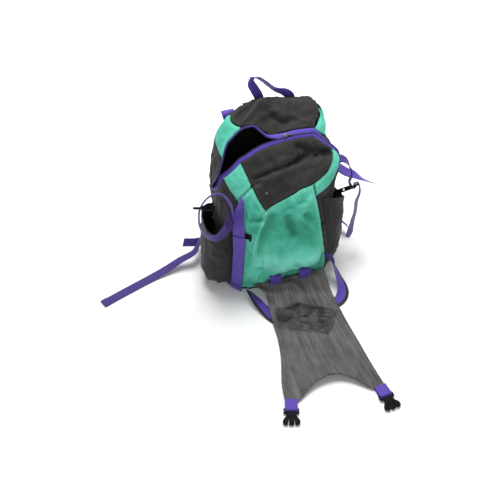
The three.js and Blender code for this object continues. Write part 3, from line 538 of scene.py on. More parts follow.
def close_top(piece):
    """Carries the rear panel's upper edge on over the top of the bag to the seam at its back."""
    mesh = piece.data
    run = max(corner_runs(mesh), key=lambda row: sum(mesh.vertices[i].co.z for i in row) / len(row))
    pairs = {tuple(sorted(pair)) for pair in zip(run, run[1:])}
    bpy.context.tool_settings.mesh_select_mode = (False, True, False)
    pick_none(mesh)
    for edge in mesh.edges:
        edge.select = tuple(sorted(edge.vertices)) in pairs
    for share, rise in [(0.5, 0.0012), (1.0, -0.003)]:
        edit(bpy.ops.mesh.extrude_edges_move, False, TRANSFORM_OT_translate={"value": (0, 0, 0)})
        picked = [v for v in mesh.vertices if v.select]
        ends = [min(v.co.x for v in picked), max(v.co.x for v in picked)]
        for v in picked:
            drop = END_DROP if v.co.x in ends else 0.0
            v.co += Vector((0, (BACK_SEAM - v.co.y) * share, rise - drop))
    bpy.context.tool_settings.mesh_select_mode = (False, False, True)


charcoal_seams += sew_panel(["rear_top"], "rear_top_cloth", charcoal, extend=close_top)
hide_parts("rear_top", "top_panel")
sew_panel(["bottom_panel"], "bottom_panel_cloth", charcoal, slack=0.0, pull=0.0)

# The bright panels: the same cloth in teal, for the front pocket and the slanting bands that run
# up over the zip to charcoal ends at the top. The pocket is slack, so its folds are the deepest.
teal = woven_nylon("teal_woven_nylon", "176a56", "41b598", "56cdb0", "8ae6d0")
teal_seams = []
BAND_ENDS = {"rear_band_left": 0.2688, "rear_band_right": 0.291}
ALONG_BANDS = Vector((0.226, 0.696, 0.682))
for node, slack in [("front_pocket", 2.2), ("front_band_left", 1.2), ("front_band_right", 1.2),
                    ("rear_band_left", 1.2), ("rear_band_right", 1.2)]:
    places = sew_panel([node], node + "_cloth", teal, slack)
    end = BAND_ENDS.get(node, 1.0)
    teal_seams += [place for place in places if place.translation.dot(ALONG_BANDS) < end]
    charcoal_seams += [place for place in places if place.translation.dot(ALONG_BANDS) >= end]
    mesh = bpy.data.objects[node + "_cloth"].data
    mesh.materials.append(charcoal)
    for face in mesh.polygons:
        if face.material_index == 0 and face.center.dot(ALONG_BANDS) > end:
            face.material_index = 2

# The side pockets: open-topped charcoal pockets sewn on over the bag's lower sides, with a
# turned hem along the mouth.
SEWN_REACH = 11
bag_wall = [[], []]
for name in ("side_lower_left", "side_lower_right", "back_panel", "front_side_left", "front_side_right"):
    piece = bpy.data.objects[name + "_cloth"]
    first = len(bag_wall[0])
    bag_wall[0] += [v.co.copy() for v in piece.data.vertices]
    bag_wall[1] += [[i + first for i in face.vertices] for face in piece.data.polygons]
bag_wall = BVHTree.FromPolygons(*bag_wall)


def sew_down(piece):
    """Draws the sides and bottom of a pocket onto the bag's wall; its highest edge, the mouth, stays free."""
    mesh = piece.data
    runs = sorted(corner_runs(mesh), key=lambda run: sum(mesh.vertices[i].co.z for i in run) / len(run))
    sewn = [mesh.vertices[i].co.copy() for run in runs[:-1] for i in run]
    near = tree_of(sewn)
    pulls = []
    for spot in sewn:
        wall, out = bag_wall.find_nearest(spot)[:2]
        pulls.append(wall + out * 0.0004 - spot)
    for v in mesh.vertices:
        spot, k, away = near.find(v.co)
        v.co += pulls[k] * bell(away * 1000, SEWN_REACH)


for node in ["side_pocket_left", "side_pocket_right"]:
    charcoal_seams += sew_panel([node], node + "_cloth", charcoal, slack=1.6, pull=0.0,
                                tuck=sew_down)

# The seam rows: lockstitch in polyester thread of the cloth's colour, a stitch every 4 mm drawn
# a little into the cloth. One stitch is modelled and copied along each seam.


def spun_thread(name, shade, body):
    """Twisted thread: a fine slanting twist and a slight gloss."""
    thread, shader, place = new_material(name)
    twist = add_node(thread, "ShaderNodeTexWave", {
        "Scale": 500, "Distortion": 1, "Vector": place["Object"]}, bands_direction="DIAGONAL")
    tone = add_node(
        thread, "ShaderNodeMix", {6: linear(shade), 7: linear(body), 0: twist.outputs["Fac"]}, data_type="RGBA")
    feed(thread, shader, {"Base Color": tone.outputs[2], "Roughness": 0.55})
    return thread


def copies_at(pattern, places, name):
    """One mesh of a small pattern piece copied to every place."""
    corners = [v.co.copy() for v in pattern.data.vertices]
    faces = [list(p.vertices) for p in pattern.data.polygons]
    mesh = bpy.data.meshes.new(name)
    mesh.from_pydata([place @ c for place in places for c in corners], [],
                     [[i + n * len(corners) for i in f] for n in range(len(places)) for f in faces])
    row = bpy.data.objects.new(name, mesh)
    bpy.context.collection.objects.link(row)
    bpy.data.objects.remove(pattern)
    bpy.ops.object.select_all(action="DESELECT")
    row.select_set(True)
    bpy.context.view_layer.objects.active = row
    bpy.ops.object.shade_smooth()
    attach(row, "root")
    return row


def one_stitch(long=0.0030, wide=0.0008):
    bpy.ops.object.select_all(action="DESELECT")
    bpy.ops.mesh.primitive_uv_sphere_add(segments=6, ring_count=3, radius=0.5, rotation=(0, math.pi / 2, 0))
    stitch = bpy.context.object
    bpy.ops.object.transform_apply(location=True, rotation=True, scale=True)
    stitch.scale = (long, wide, wide * 0.7)
    bpy.ops.object.transform_apply(location=True, rotation=True, scale=True)
    return stitch


for name, places, shade, body, slot in [
    ("charcoal_seam_rows", charcoal_seams, "262422", "45423e", "charcoal_cloth"),
    ("teal_seam_rows", teal_seams, "2a8a72", "58c0a4", "teal_cloth"),
]:
    row = copies_at(one_stitch(), places, name)
    row.data.materials.append(spun_thread(name + "_thread", shade, body))

# The top zip: two purple woven tapes sewn to the panels, with a row of dark nylon coil along
# each free edge. It is shut on the right and open on the left, where the tapes part.


def woven_tape(name, shade, body, light, rib=0.0017, selvedge=None, wide=0.025):
    """Nylon webbing: chevron ribs across the width, a soft sheen and rubbed, uneven colour."""
    # The real ribs are about 1 mm apart and are drawn a little coarser, so that they show.
    tape, shader, place = new_material(name)
    parts = add_node(tape, "ShaderNodeSeparateXYZ", {0: place["UV"]})
    zigzag = add_node(tape, "ShaderNodeMath", {1: wide / 8, 0: parts.outputs["X"]}, operation="PINGPONG")
    chevron = add_node(tape, "ShaderNodeMath", {0: parts.outputs["Y"], 1: zigzag.outputs[0]}, operation="ADD")
    lay = add_node(tape, "ShaderNodeCombineXYZ", {"Y": chevron.outputs[0]})
    ribs = add_node(
        tape, "ShaderNodeTexWave", {"Scale": METRE_BANDS / rib, "Vector": lay.outputs[0]}, bands_direction="Y")
    fade = add_node(
        tape, "ShaderNodeTexNoise", {"Scale": 30, "Detail": 6, "Roughness": 0.6, "Vector": place["Object"]})
    fade_share = add_node(
        tape, "ShaderNodeMapRange", {"From Min": 0.3, "From Max": 0.7, "Value": fade.outputs["Fac"]})
    faded = add_node(
        tape, "ShaderNodeMix", {6: linear(shade), 7: linear(body), 0: fade_share.outputs[0]}, data_type="RGBA")
    rib_share = add_node(tape, "ShaderNodeMath", {1: 0.6, 0: ribs.outputs["Fac"]}, operation="MULTIPLY")
    ribbed = add_node(
        tape, "ShaderNodeMix", {7: linear(light), 0: rib_share.outputs[0], 6: faded.outputs[2]}, data_type="RGBA")
    colour = ribbed.outputs[2]
    if selvedge:
        edge = add_node(tape, "ShaderNodeMath", {1: wide * 0.26, 0: parts.outputs["X"]}, operation="LESS_THAN")
        edged = add_node(
            tape, "ShaderNodeMix", {7: linear(selvedge), 0: edge.outputs[0], 6: colour}, data_type="RGBA")
        colour = edged.outputs[2]
    gloss = add_node(tape, "ShaderNodeMapRange", {"To Min": 0.68, "To Max": 0.5, "Value": ribs.outputs["Fac"]})
    raised = add_node(tape, "ShaderNodeBump", {"Strength": 0.5, "Distance": 0.0004, "Height": ribs.outputs["Fac"]})
    feed(tape, shader, {"Base Color": colour, "Roughness": gloss.outputs[0], "Normal": raised.outputs["Normal"],
                        "Specular IOR Level": 0.35, "Sheen Weight": 0.1})
    return tape


def moulded_plastic(name, body, light, rough):
    """Injection-moulded acetal: near black, a fine pebbled skin and paler scuffs."""
    plastic, shader, place = new_material(name)
    scuff = add_node(
        plastic, "ShaderNodeTexNoise", {"Scale": 220, "Detail": 5, "Distortion": 0.6, "Vector": place["Object"]})
    share = add_node(
        plastic, "ShaderNodeMapRange", {"From Min": 0.52, "From Max": 0.8, "Value": scuff.outputs["Fac"]})
    tone = add_node(
        plastic, "ShaderNodeMix", {6: linear(body), 7: linear(light), 0: share.outputs[0]}, data_type="RGBA")
    gloss = add_node(
        plastic, "ShaderNodeMapRange", {"To Min": rough, "To Max": rough + 0.25, "Value": scuff.outputs["Fac"]})
    pebble = add_node(plastic, "ShaderNodeTexNoise", {"Scale": 1400, "Detail": 2, "Vector": place["Object"]})
    skin = add_node(
        plastic, "ShaderNodeBump", {"Strength": 0.15, "Distance": 0.0002, "Height": pebble.outputs["Fac"]})
    feed(plastic, shader, {"Base Color": tone.outputs[2], "Roughness": gloss.outputs[0],
                           "Normal": skin.outputs["Normal"]})
    return plastic


# The tapes' sewn edges are in mm, from the left end to the right end.
SHUT_FROM = -0.017
SHUT_WITHIN = 0.03
TAPE_WIDE = 0.004
TAPE_UNDER = 0.003
TOOTH_STEP = 0.0022
BETWEEN_ROWS = 24
ZIP_EDGES = {
    "front": [
        (-126.7, 18.8, 202.7), (-126.5, 4.3, 215.4), (-124.8, -10.8, 232.8), (-115.1, -15.6, 263.3),
        (-107.4, -18.7, 273.1), (-98.3, -19.7, 281.5), (-87.9, -17.9, 289.9), (-75.5, -14, 297.7),
        (-60.9, -11.6, 302.3), (-43.2, -6.9, 307.7), (-21.2, -2.3, 311), (15.5, 2.5, 311.5), (49.3, 5.8, 310),
        (81.9, 7.8, 305.4), (94.4, 8.7, 303), (107, 2.6, 295.9), (121.1, -4.2, 287), (134.6, -9.7, 276.3),
        (143.4, -14, 259.8), (140.4, -15.2, 242.6), (132.1, -5, 224.9), (120.5, 23.6, 197.6),
    ],
    "rear": [
        (-126.4, 20.6, 213.9), (-125.2, 8.9, 233.9), (-122.9, 1.8, 247.8), (-117.7, -1.9, 264.9),
        (-108.9, 3.7, 290.4), (-93.7, 20.3, 316.7), (-80.9, 25.3, 326.3), (-68.3, 29.8, 333.9),
        (-55.8, 30.5, 341.1), (-41.9, 30.1, 342.7), (-33.2, 29.9, 341.3), (-27.2, 27.7, 336.7),
        (-10.6, 19.6, 327), (21.6, 16.2, 319.6), (54.8, 18.7, 317), (87.9, 20.1, 312.5), (99.5, 21, 310),
        (109.7, 14.5, 302.1), (118.3, 7.5, 294.4), (130.2, .4, 283.8), (141.5, -6.6, 268.5),
        (142.4, -10.7, 249.9), (134.4, -2.9, 232.4), (120.7, 24.8, 205.2),
    ],
}
zip_purple = woven_tape("purple_zip_tape", "3c2a8c", "4d3aa4", "6a54c2", rib=0.0012, wide=0.006)
coil_indigo = moulded_plastic("indigo_nylon_coil", "190f52", "2a1d78", 0.5)


def webbing_run(rows, across=None):
    """Even stations along a smooth run through the rows: place, way along, way across, length."""
    spots = [Vector(row[:3]) / 1000 for row in rows]
    reach = [spots[0] * 2 - spots[1]] + spots + [spots[-1] * 2 - spots[-2]]
    stations = []
    for i in range(len(spots) - 1):
        a, b, c, d = reach[i:i + 4]
        ab, bc, cd = [max((q - p).length, 1e-6) ** 0.5 for p, q in ((a, b), (b, c), (c, d))]
        leave = ((b - a) / ab - (c - a) / (ab + bc) + (c - b) / bc) * bc
        arrive = ((c - b) / bc - (d - b) / (bc + cd) + (d - c) / cd) * bc
        square = (c - b) * 3 - leave * 2 - arrive
        cube = (b - c) * 2 + leave + arrive
        for k in range(BETWEEN_ROWS + (i == len(spots) - 2)):
            w = k / BETWEEN_ROWS
            along = (leave + square * (2 * w) + cube * (3 * w * w)).normalized()
            side = Vector(across) if across else Vector(rows[i][4:]).lerp(Vector(rows[i + 1][4:]), w).cross(along)
            side = (side - along * side.dot(along)).normalized()
            side.rotate(Quaternion(along, math.radians(rows[i][3] * (1 - w) + rows[i + 1][3] * w)))
            stations.append([b + leave * w + square * w * w + cube * w ** 3, along, side, 0.0])
    for before, after in zip(stations, stations[1:]):
        after[3] = before[3] + (after[0] - before[0]).length
    return stations


def station_at(stations, share):
    """The station at a share of the run's length."""
    far = share * stations[-1][3]
    i = 0
    while i < len(stations) - 2 and stations[i + 1][3] < far:
        i += 1
    a, b = stations[i], stations[i + 1]
    mix = clamp((far - a[3]) / max(b[3] - a[3], 1e-9))
    return [a[k].lerp(b[k], mix) for k in range(3)]


def flat_strip(name, columns, rows):
    """A strip before it is bent, with each vertex's share of the way across and along."""
    bpy.ops.object.select_all(action="DESELECT")
    bpy.ops.mesh.primitive_grid_add(x_subdivisions=columns, y_subdivisions=rows, size=1)
    strip = bpy.context.object
    strip.name = name
    return strip, [(v.co.x + 0.5, v.co.y + 0.5) for v in strip.data.vertices]


def lay_pattern(mesh, flat):
    """Gives each vertex its place on the flat cloth, in metres."""
    for loop in mesh.loops:
        mesh.uv_layers.active.data[loop.index].uv = flat[loop.vertex_index]


# The front tape's free edge is the one the rear tape shuts onto.
for part, inward, coil_wide in [("front", 1, 3.4), ("rear", -1, 4.4)]:
    sewn = [slumped(Vector(row) / 1000) for row in ZIP_EDGES[part]]
    stations = webbing_run([(*(spot * 1000), 0, *outward(spot)) for spot in sewn])
    free = []
    for spot, _, side, _ in stations:
        edge = spot + side * inward * TAPE_WIDE
        if part == "rear":
            shut = clamp((spot.x - SHUT_FROM) / SHUT_WITHIN)
            edge = (spot - side * TAPE_WIDE * 0.75).lerp(front_edge.find(edge)[0], shut)
        free.append(edge)
    front_edge = tree_of(free)
    tape, places = flat_strip("zip_tape_%s_woven" % part, 6, len(stations) - 1)
    places = [(over, round(share * (len(stations) - 1))) for over, share in places]
    lay_pattern(tape.data, [(over * TAPE_WIDE, stations[k][3]) for over, k in places])
    for v, (over, k) in zip(tape.data.vertices, places):
        spot, along, side, _ = stations[k]
        under = spot - side * inward * TAPE_UNDER
        v.co = under.lerp(free[k], over) + along.cross(side) * (0.0006 - 0.0034 * (1 - over) ** 3)
    edit(bpy.ops.mesh.normals_make_consistent, inside=False)
    tape.data.materials.append(zip_purple)
    modify(tape, "SOLIDIFY", thickness=0.0012, offset=0)
    bpy.ops.object.shade_smooth_by_angle(angle=math.radians(55))
    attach(tape, "root")
    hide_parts("zip_tape_" + part)
    teeth = []
    behind = 0.0 if part == "front" else TOOTH_STEP / 2
    for k, (a, b) in enumerate(zip(free, free[1:])):
        run = b - a
        while behind < run.length:
            out = stations[k][1].cross(stations[k][2])
            along = run.normalized()
            out = (out - along * out.dot(along)).normalized()
            teeth.append(seat_at(a + run * (behind / run.length) + out * 0.0012, along, out))
            behind += TOOTH_STEP
        behind -= run.length
    bpy.ops.object.select_all(action="DESELECT")
    bpy.ops.mesh.primitive_cube_add(size=1)
    tooth = bpy.context.object
    tooth.scale = (0.0017, coil_wide / 1000, 0.0022)
    bpy.ops.object.transform_apply(location=True, rotation=True, scale=True)
    modify(tooth, "BEVEL", width=0.0005, segments=1)
    coil = copies_at(tooth, teeth, "zip_coil_" + part)
    coil.data.materials.append(coil_indigo)

# Webbing straps: purple nylon webbing, 25 or 20 mm wide and 1.5 mm thick, each a flat strip that
# bends along its run. Rows are the middle of the strip in mm and its turn in degrees.
purple = woven_tape("purple_nylon_webbing", "3a267e", "50369f", "6c4fc0")
# A darker copy of the same webbing, as painted shade on the closure straps and the left hip strap.
painted_shade_purple = woven_tape("painted_shade_purple_webbing", "29185c", "382373", "4c348c")
tacks = []


def webbing(name, rows, across=None, wide=25, thick=1.5, node=None, point=0, span=(0, 1), lift=0, look=None,
            sewn=()):
    """A strip of webbing along its run, or a second layer lifted off part of it, as at a hem."""
    stations = webbing_run(rows, across)
    length = stations[-1][3]
    steps = max(6, round(length * (span[1] - span[0]) / 0.003))
    strap, places = flat_strip(name, 8, steps)
    places = [(over, span[0] + share * (span[1] - span[0])) for over, share in places]
    lay_pattern(strap.data, [(over * wide / 1000, share * length) for over, share in places])
    for v, (over, share) in zip(strap.data.vertices, places):
        spot, along, side = station_at(stations, share)
        out = along.cross(side)
        tip = min(1, (1 - share) * (length * 1000 / point) + 0.04) if point else 1
        ripple = 0.25 * noise.noise(Vector((over * 3, share * length * 90, len(name))))
        v.co = spot + side * ((over - 0.5) * wide * tip / 1000) + out * ((lift + ripple) / 1000)
    for share in sewn:
        spot, along, side = station_at(stations, share)
        out = along.cross(side)
        for over in range(-int(wide / 2 - 2), int(wide / 2 - 1), 3):
            for face in (1, -1):
                seat = spot + side * (over / 1000) + out * ((lift + face * (thick / 2 + 0.2)) / 1000)
                tacks.append(seat_at(seat, side, out))
    strap.data.materials.append(look or purple)
    modify(strap, "SOLIDIFY", thickness=thick / 1000, offset=0)
    modify(strap, "BEVEL", width=0.0004, segments=2, limit_method="ANGLE", angle_limit=math.radians(60))
    bpy.ops.object.shade_smooth_by_angle(angle=math.radians(55))
    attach(strap, "root")
    if node:
        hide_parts(node)
    return strap


# The left compression strap: webbing that comes down the side of the front from under the top
# band, through a plastic slider, to a sewn hem at the bottom seam.
COMPRESSION = [
    (-90.48, -73.39, 249.66, 72, -.33, -.78, .53), (-97.83, -81.77, 229.34, 44, -.42, -.81, .4),
    (-103.19, -86.69, 207.13, 12, -.51, -.81, .29), (-104.5, -91.76, 180.86, 0, -.56, -.81, .16),
    (-104.3, -93.18, 157.82, 0, -.59, -.8, .12), (-104.51, -92.92, 128.88, 0, -.64, -.77, .08),
    (-108, -93.74, 66.39, 0, -.7, -.71, .06), (-110.21, -90.86, 25.38, 0, -.72, -.68, -.1),
    (-109.41, -87.63, 4.17, 0, -.73, -.67, -.14),
]
webbing("compression_webbing_left", COMPRESSION, node="compression_strap_left")
webbing("compression_return_left", COMPRESSION, span=(0.355, 0.975), lift=1.9, sewn=(0.9, 0.93))
webbing("compression_hem_left", COMPRESSION, wide=27, span=(0.935, 0.995), lift=3.5, sewn=(0.945, 0.985))

# The left closure strap: webbing sewn into the side seam that stands out in a loose ring and
# ends in the female half of the flap's buckle.
webbing("closure_webbing_left", [
    (-101, -60, 203, 52), (-113.42, -68.29, 195, 46), (-123.56, -84.95, 199, 42),
    (-139.96, -106.27, 203, 38), (-161.89, -115.54, 202, 26), (-177.21, -104.42, 205, 16),
    (-183.37, -87.81, 214.23, 10), (-181.48, -72.29, 228.56, 9), (-175.02, -62.09, 239.48, 9),
    (-159.54, -53.28, 251.77, 9), (-142.06, -51.28, 258.59, 9), (-128.03, -56.61, 257.91, 12),
    (-119.1, -67.96, 250.4, 14), (-115.33, -82.25, 238.8, 10), (-117.95, -96.77, 225.15, 0),
], (-.211, -.649, .731), node="closure_strap_left", look=painted_shade_purple)

# The right closure strap: it leaves the side seam, passes through its buckle's ladder bars and
# hangs down in a tail with a pointed end. A second strap lies loose beside it.
webbing("closure_webbing_right", [
    (141, 2, 226, 50), (150, -2, 228, 45), (159, -11, 224, 25), (163, -20, 214, 5), (163.6, -27, 201, 5),
    (159.43, -29.19, 183.06, 0), (160.42, -35.82, 177.07, 0), (161.47, -39.51, 173.82, 0),
    (165.14, -40.99, 173.05, 0), (168.37, -39.51, 174.96, 0), (168.32, -35.82, 178.37, 0),
    (168.87, -33.61, 180.52, 0), (171.78, -32.58, 181.95, 0), (174.94, -33.91, 181.24, 0),
    (177.15, -38.78, 177.09, 8), (179.5, -36.8, 152, 24), (175, -39, 130, 26), (172, -42, 103, 26),
    (166.5, -44.5, 78, 28), (162, -47, 55, 38), (160, -48, 32, 52),
], (.12, .676, -.728), node="closure_strap_right", point=12, look=painted_shade_purple)
webbing("side_webbing_right", [
    (141, 16, 199, 50), (153, 14, 187, 50), (169, 8, 175, 50), (182, 3, 170, 44), (200, -6, 159, 14),
    (221, -14, 148, 4),
], (-.211, -.649, .731), node="side_strap_right")

# The hip straps and the left shoulder webbing's tail: narrower webbing from the lower back
# corners. The left hip strap lies out on the floor to a folded hem.
HIP_LEFT = [
    (-108, 92, 40, 70), (-130, 66, 42, 62), (-156, 35, 38, 40), (-172, 18, 29, 22), (-205, 14, 18, 12),
    (-240, 6, 8, 6), (-272, -2, 2.4, 0), (-330, -21, 1.3, 0), (-390, -42, 1.3, 0),
]
webbing("hip_webbing_left", HIP_LEFT, (.32, -.947, 0), 20, node="hip_strap_left", look=painted_shade_purple)
webbing("hip_hem_left", HIP_LEFT, (.32, -.947, 0), 20, 1.2, span=(0.955, 1), lift=1.4, look=painted_shade_purple,
        sewn=(0.962, 0.985))
webbing("shoulder_tail_webbing", [
    (-106, 94, 24, 0), (-122, 74, 19, 0), (-139, 58, 17, 6), (-160, 52, 22, 12), (-187, 50, 32, 14),
], (0, 0, 1), 20, node="shoulder_tail_left")
webbing("hip_webbing_right", [
    (100, 84, 34, 0), (132, 68, 34, 16), (154, 34, 30, 27), (173, -8, 26, 28),
], (0, 0, 1), 20, node="hip_strap_right")

# The grab loop: a short length of webbing sewn to the top back edge at both ends, which twists
# as it stands up.
webbing("grab_loop_webbing", [
    (1, 96.5, 332, 0), (0, 98, 352, 12), (-8, 101, 372, 26), (-15.5, 103.5, 389, 40), (-13.5, 104.7, 398, 46),
    (-4, 105, 400, 52), (12, 104, 387, 56), (28, 103, 369, 54), (42, 102, 358, 36), (56, 100.5, 351, 20),
    (66, 98.5, 340, 10), (69, 97.5, 320, 0),
], (.93, 0, .37), 20, node="grab_loop", sewn=(0.03, 0.08, 0.93, 0.97))

# The shoulder straps: foam pads covered in charcoal cloth with a bound edge, hung from webbing
# at the top of the back and drawn in by narrower webbing from the bottom corners.
PAD_WIDE = 58
PAD_THICK = 12
# Each row is the way out from the middle, the way back, and the heights on the left and the right.
PADS = [(36, 106, 300.25, 295.03), (36, 114, 300.25, 295.03), (38, 124, 286.04, 281.27), (44, 130, 255.64, 251.69),
        (50, 130, 206.97, 204.57), (56, 124, 164.53, 163.18), (60, 115, 132.29, 131.53)]
LIFTERS = [(62, 97.5, 308.67, 299.03), (65, 99.5, 320.22, 308.97), (66, 105, 325.46, 313.5),
           (62, 118, 319.04, 308.42), (55, 131, 295.99, 288.41), (50, 137, 266.04, 260.99)]
LOWER = [(61, 113, 128.27, 127.57), (68, 108, 100.14, 99.76), (79, 101, 68.05, 67.91), (88, 96.5, 40.01, 39.98),
         (90, 93, 18, 18)]


def on_side(rows, side):
    """The rows of a strap as they lie on the left or the right."""
    return [(-x, y, left, 0) if side == "left" else (x, y, right, 0) for x, y, left, right in rows]


for side in ("left", "right"):
    stations = webbing_run(on_side(PADS, side), (1, 0, 0))
    bpy.ops.object.select_all(action="DESELECT")
    bpy.ops.mesh.primitive_cylinder_add(vertices=40, radius=1, depth=1)
    pad = bpy.context.object
    pad.name = "shoulder_pad_" + side
    bpy.context.tool_settings.mesh_select_mode = (False, True, False)
    for edge in pad.data.edges:
        ends = [pad.data.vertices[i].co.z for i in edge.vertices]
        edge.select = abs(ends[0] - ends[1]) > 0.5
    edit(bpy.ops.mesh.subdivide, False, number_cuts=70)
    mesh = pad.data
    crest = mesh.attributes.new("crest", "FLOAT", "POINT")
    places = [(v.co.x, v.co.y, v.co.z + 0.5) for v in mesh.vertices]
    lay_pattern(mesh, [(over * PAD_WIDE / 2000, share * stations[-1][3]) for over, _, share in places])
    for v, (over, deep, share) in zip(mesh.vertices, places):
        spot, along, across = station_at(stations, share)
        out = along.cross(across)
        end = min(1.0, share * 14, (1 - share) * 14)
        bound = clamp((0.88 - abs(over)) / 0.1)
        quilt = 1 - 0.35 * bell((share * 5) % 1 - 0.5, 0.05)
        crown = PAD_THICK / 2 * (1 - abs(over) ** 4) * bound * (0.35 + 0.65 * end) * quilt
        half = max(1.6, crown)
        face = math.copysign(min(1, abs(deep) * 3), deep)
        v.co = spot + across * (over * PAD_WIDE / 2000) + out * (face * half / 1000)
        crest.data[v.index].value = 0.15 + 0.2 * (1 - bound)
    edit(bpy.ops.mesh.normals_make_consistent, inside=False)
    pad.data.materials.append(charcoal)
    bpy.ops.object.shade_smooth_by_angle(angle=math.radians(50))
    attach(pad, "root")
    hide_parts("shoulder_strap_" + side)
for side in ("left", "right"):
    webbing("shoulder_lifter_webbing_" + side, on_side(LIFTERS, side), (1, 0, 0), node="shoulder_lifter_" + side,
            sewn=(0.62, 0.94))
    webbing("shoulder_lower_webbing_" + side, on_side(LOWER, side), (1, 0, 0), 20, node="shoulder_webbing_" + side,
            sewn=(0.04, 0.94))

# The front flap: it lies open on the floor with its grey coated lining up, cut with two horns at
# its far end. The lining crinkles lengthwise, and a pocket-sized patch in it is darker and shiny.
NEAR_EDGE_RAISED = 0.014
PATCH = [(-53, -169), (3, -167), (48, -193), (72, -212), (33, -267), (-3, -247), (-61, -217)]
flap = copy_of("flap", "front_flap")
keep_outside(flap, lambda center, normal: normal.z > 0.2)
lay_flat(flap)
modify(flap, "SUBSURF", levels=4, render_levels=4, boundary_smooth="PRESERVE_CORNERS")
mesh = flap.data
near = tree_of([mesh.vertices[i].co for chain in edge_chains(mesh) for i in chain])
crest = mesh.attributes.new("crest", "FLOAT", "POINT")
painted_shade_and_dark_edge = mesh.attributes.new("painted_shade_and_dark_edge", "FLOAT", "POINT")
shiny = mesh.attributes.new("shiny_patch", "FLOAT", "POINT")
grain = []
normals = [v.normal.copy() for v in mesh.vertices]
for v, normal in zip(mesh.vertices, normals):
    away = near.find(v.co)[2] * 1000
    x, y = v.co.x * 1000, v.co.y * 1000
    wander = 5 * noise.noise_vector(Vector((x / 22, y / 22, 6.0)))
    spot = Vector((x + wander.x, y + wander.y))
    edge = 1e9
    within = False
    for (ax, ay), (bx, by) in zip(PATCH, PATCH[1:] + PATCH[:1]):
        edge = min(edge, off_line(spot, Vector((ax, ay)), Vector((bx, by))))
        if (ay > spot.y) != (by > spot.y) and spot.x < (bx - ax) * (spot.y - ay) / (by - ay) + ax:
            within = not within
    inner = clamp(edge / 5) if within else 0.0
    far = clamp((-y - 140) / 260)
    fan = x / (1 + 0.45 * far)
    grain.append((fan / 1000, y / 1000))
    bent = Vector((fan, y, 0)) + 6 * noise.noise_vector(Vector((x / 40, y / 40, 3.0)))
    streak = noise.noise(Vector((bent.x / 4.5, bent.y / 46, 1.0)))
    lengthwise = noise.noise(Vector((bent.x / 9, bent.y / 60, 1.0)))
    slanting = (1 - abs(noise.noise(Vector(((bent.x + bent.y) / 34, (bent.x - bent.y) / 60, 5.0))))) ** 2 - 0.5
    billow = noise.noise(bent / 24 + Vector((2.0, 0.0, 8.0)))
    near_bag = 1 - clamp((-y - 150) / 60)
    rise = (0.7 * streak + 1.4 * lengthwise) * (1 - inner) * (0.3 + 0.7 * far)
    rise += 3.2 * slanting * (0.25 + near_bag + inner) + 2.6 * billow * inner
    line = bell(edge, 1.6) if y < -215 and x > -40 else 0.3 * bell(edge, 3)
    rise -= 0.8 * line
    hem = 0.8 * bell(away - 4.5, 3) - 0.7 * bell(away - 9.5, 1.3)
    v.co += normal * max(-1.4, rise * min(1.0, away / 9) + hem) / 1000
    raised = clamp((y + 168) / 48)
    v.co.z += NEAR_EDGE_RAISED * raised * raised * (3 - 2 * raised)
    # Paler on the crests as painted highlight, and painted lighter next to the bag to undo the shadow the bag casts
    # there.
    crest.data[v.index].value = clamp(0.12 + 0.3 * near_bag * (1 - inner) + 0.12 * rise, 0.7)
    # Darker in the hollows and along the patch's edge as painted shade, and in a thin dark line at the flap's edge.
    painted_shade_and_dark_edge.data[v.index].value = clamp(-0.14 * rise + 0.7 * line + 0.6 * math.exp(-away / 1.5), 0.8)
    shiny.data[v.index].value = inner
lay_pattern(mesh, grain)
lining = woven_nylon("grey_coated_lining", "1b1b1a", "403f3e", "575554", "827f7d", thread=0.0012, rough=0.62)
lining_place = add_node(lining, "ShaderNodeTexCoord").outputs
# Lengthwise streaks in the colour: painted light and shade of crinkles too fine for the mesh.
drawn = add_node(lining, "ShaderNodeMapping", {"Scale": (190, 16, 1), "Vector": lining_place["UV"]})
streaks = add_node(lining, "ShaderNodeTexNoise", {
    "Scale": 1.0, "Detail": 5, "Roughness": 0.6, "Distortion": 0.5, "Vector": drawn.outputs[0]})
painted_crinkle_shade = add_node(lining, "ShaderNodeMapRange", {
    "From Min": 0.36, "From Max": 0.64, "To Min": 0.66, "To Max": 1.26, "Value": streaks.outputs["Fac"]})
mark = add_node(lining, "ShaderNodeAttribute", attribute_name="shiny_patch")
shader = lining.node_tree.nodes["Principled BSDF"]
cloth_colour = shader.inputs["Base Color"].links[0].from_socket
cloth_gloss = shader.inputs["Roughness"].links[0].from_socket
blotch = add_node(
    lining, "ShaderNodeTexNoise", {"Scale": 42, "Detail": 5, "Distortion": 1.4, "Vector": lining_place["Object"]})
worn = add_node(lining, "ShaderNodeMapRange", {
    "From Min": 0.46, "From Max": 0.56, "To Min": 0.72, "To Max": 1.0, "Value": blotch.outputs["Fac"]})
dark_share = add_node(lining, "ShaderNodeMath", {0: worn.outputs[0], 1: mark.outputs["Fac"]}, operation="MULTIPLY")
crinkle_shaded_colour = add_node(lining, "ShaderNodeMix", {
    0: 1.0, 6: cloth_colour, 7: painted_crinkle_shade.outputs[0]}, data_type="RGBA", blend_type="MULTIPLY")
darker = add_node(lining, "ShaderNodeMix", {
    7: linear("111111"), 0: dark_share.outputs[0], 6: crinkle_shaded_colour.outputs[2]}, data_type="RGBA")
shine = add_node(lining, "ShaderNodeMix", {3: 0.48, 0: mark.outputs["Fac"], 2: cloth_gloss}, data_type="FLOAT")
feed(lining, shader, {"Base Color": darker.outputs[2], "Roughness": shine.outputs[0]})
flap.data.materials.append(lining)
flap.data.materials.append(charcoal)
flap_seams = stitch_places(flap, inset=0.0085)
modify(flap, "SOLIDIFY", thickness=CLOTH_THICK, offset=-1, material_offset=1, material_offset_rim=0)
bpy.ops.object.shade_smooth()
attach(flap, "root")
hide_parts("flap")
row = copies_at(one_stitch(), flap_seams, "flap_hem_row")
row.data.materials.append(spun_thread("flap_hem_thread", "3d3b39", "6b6864"))

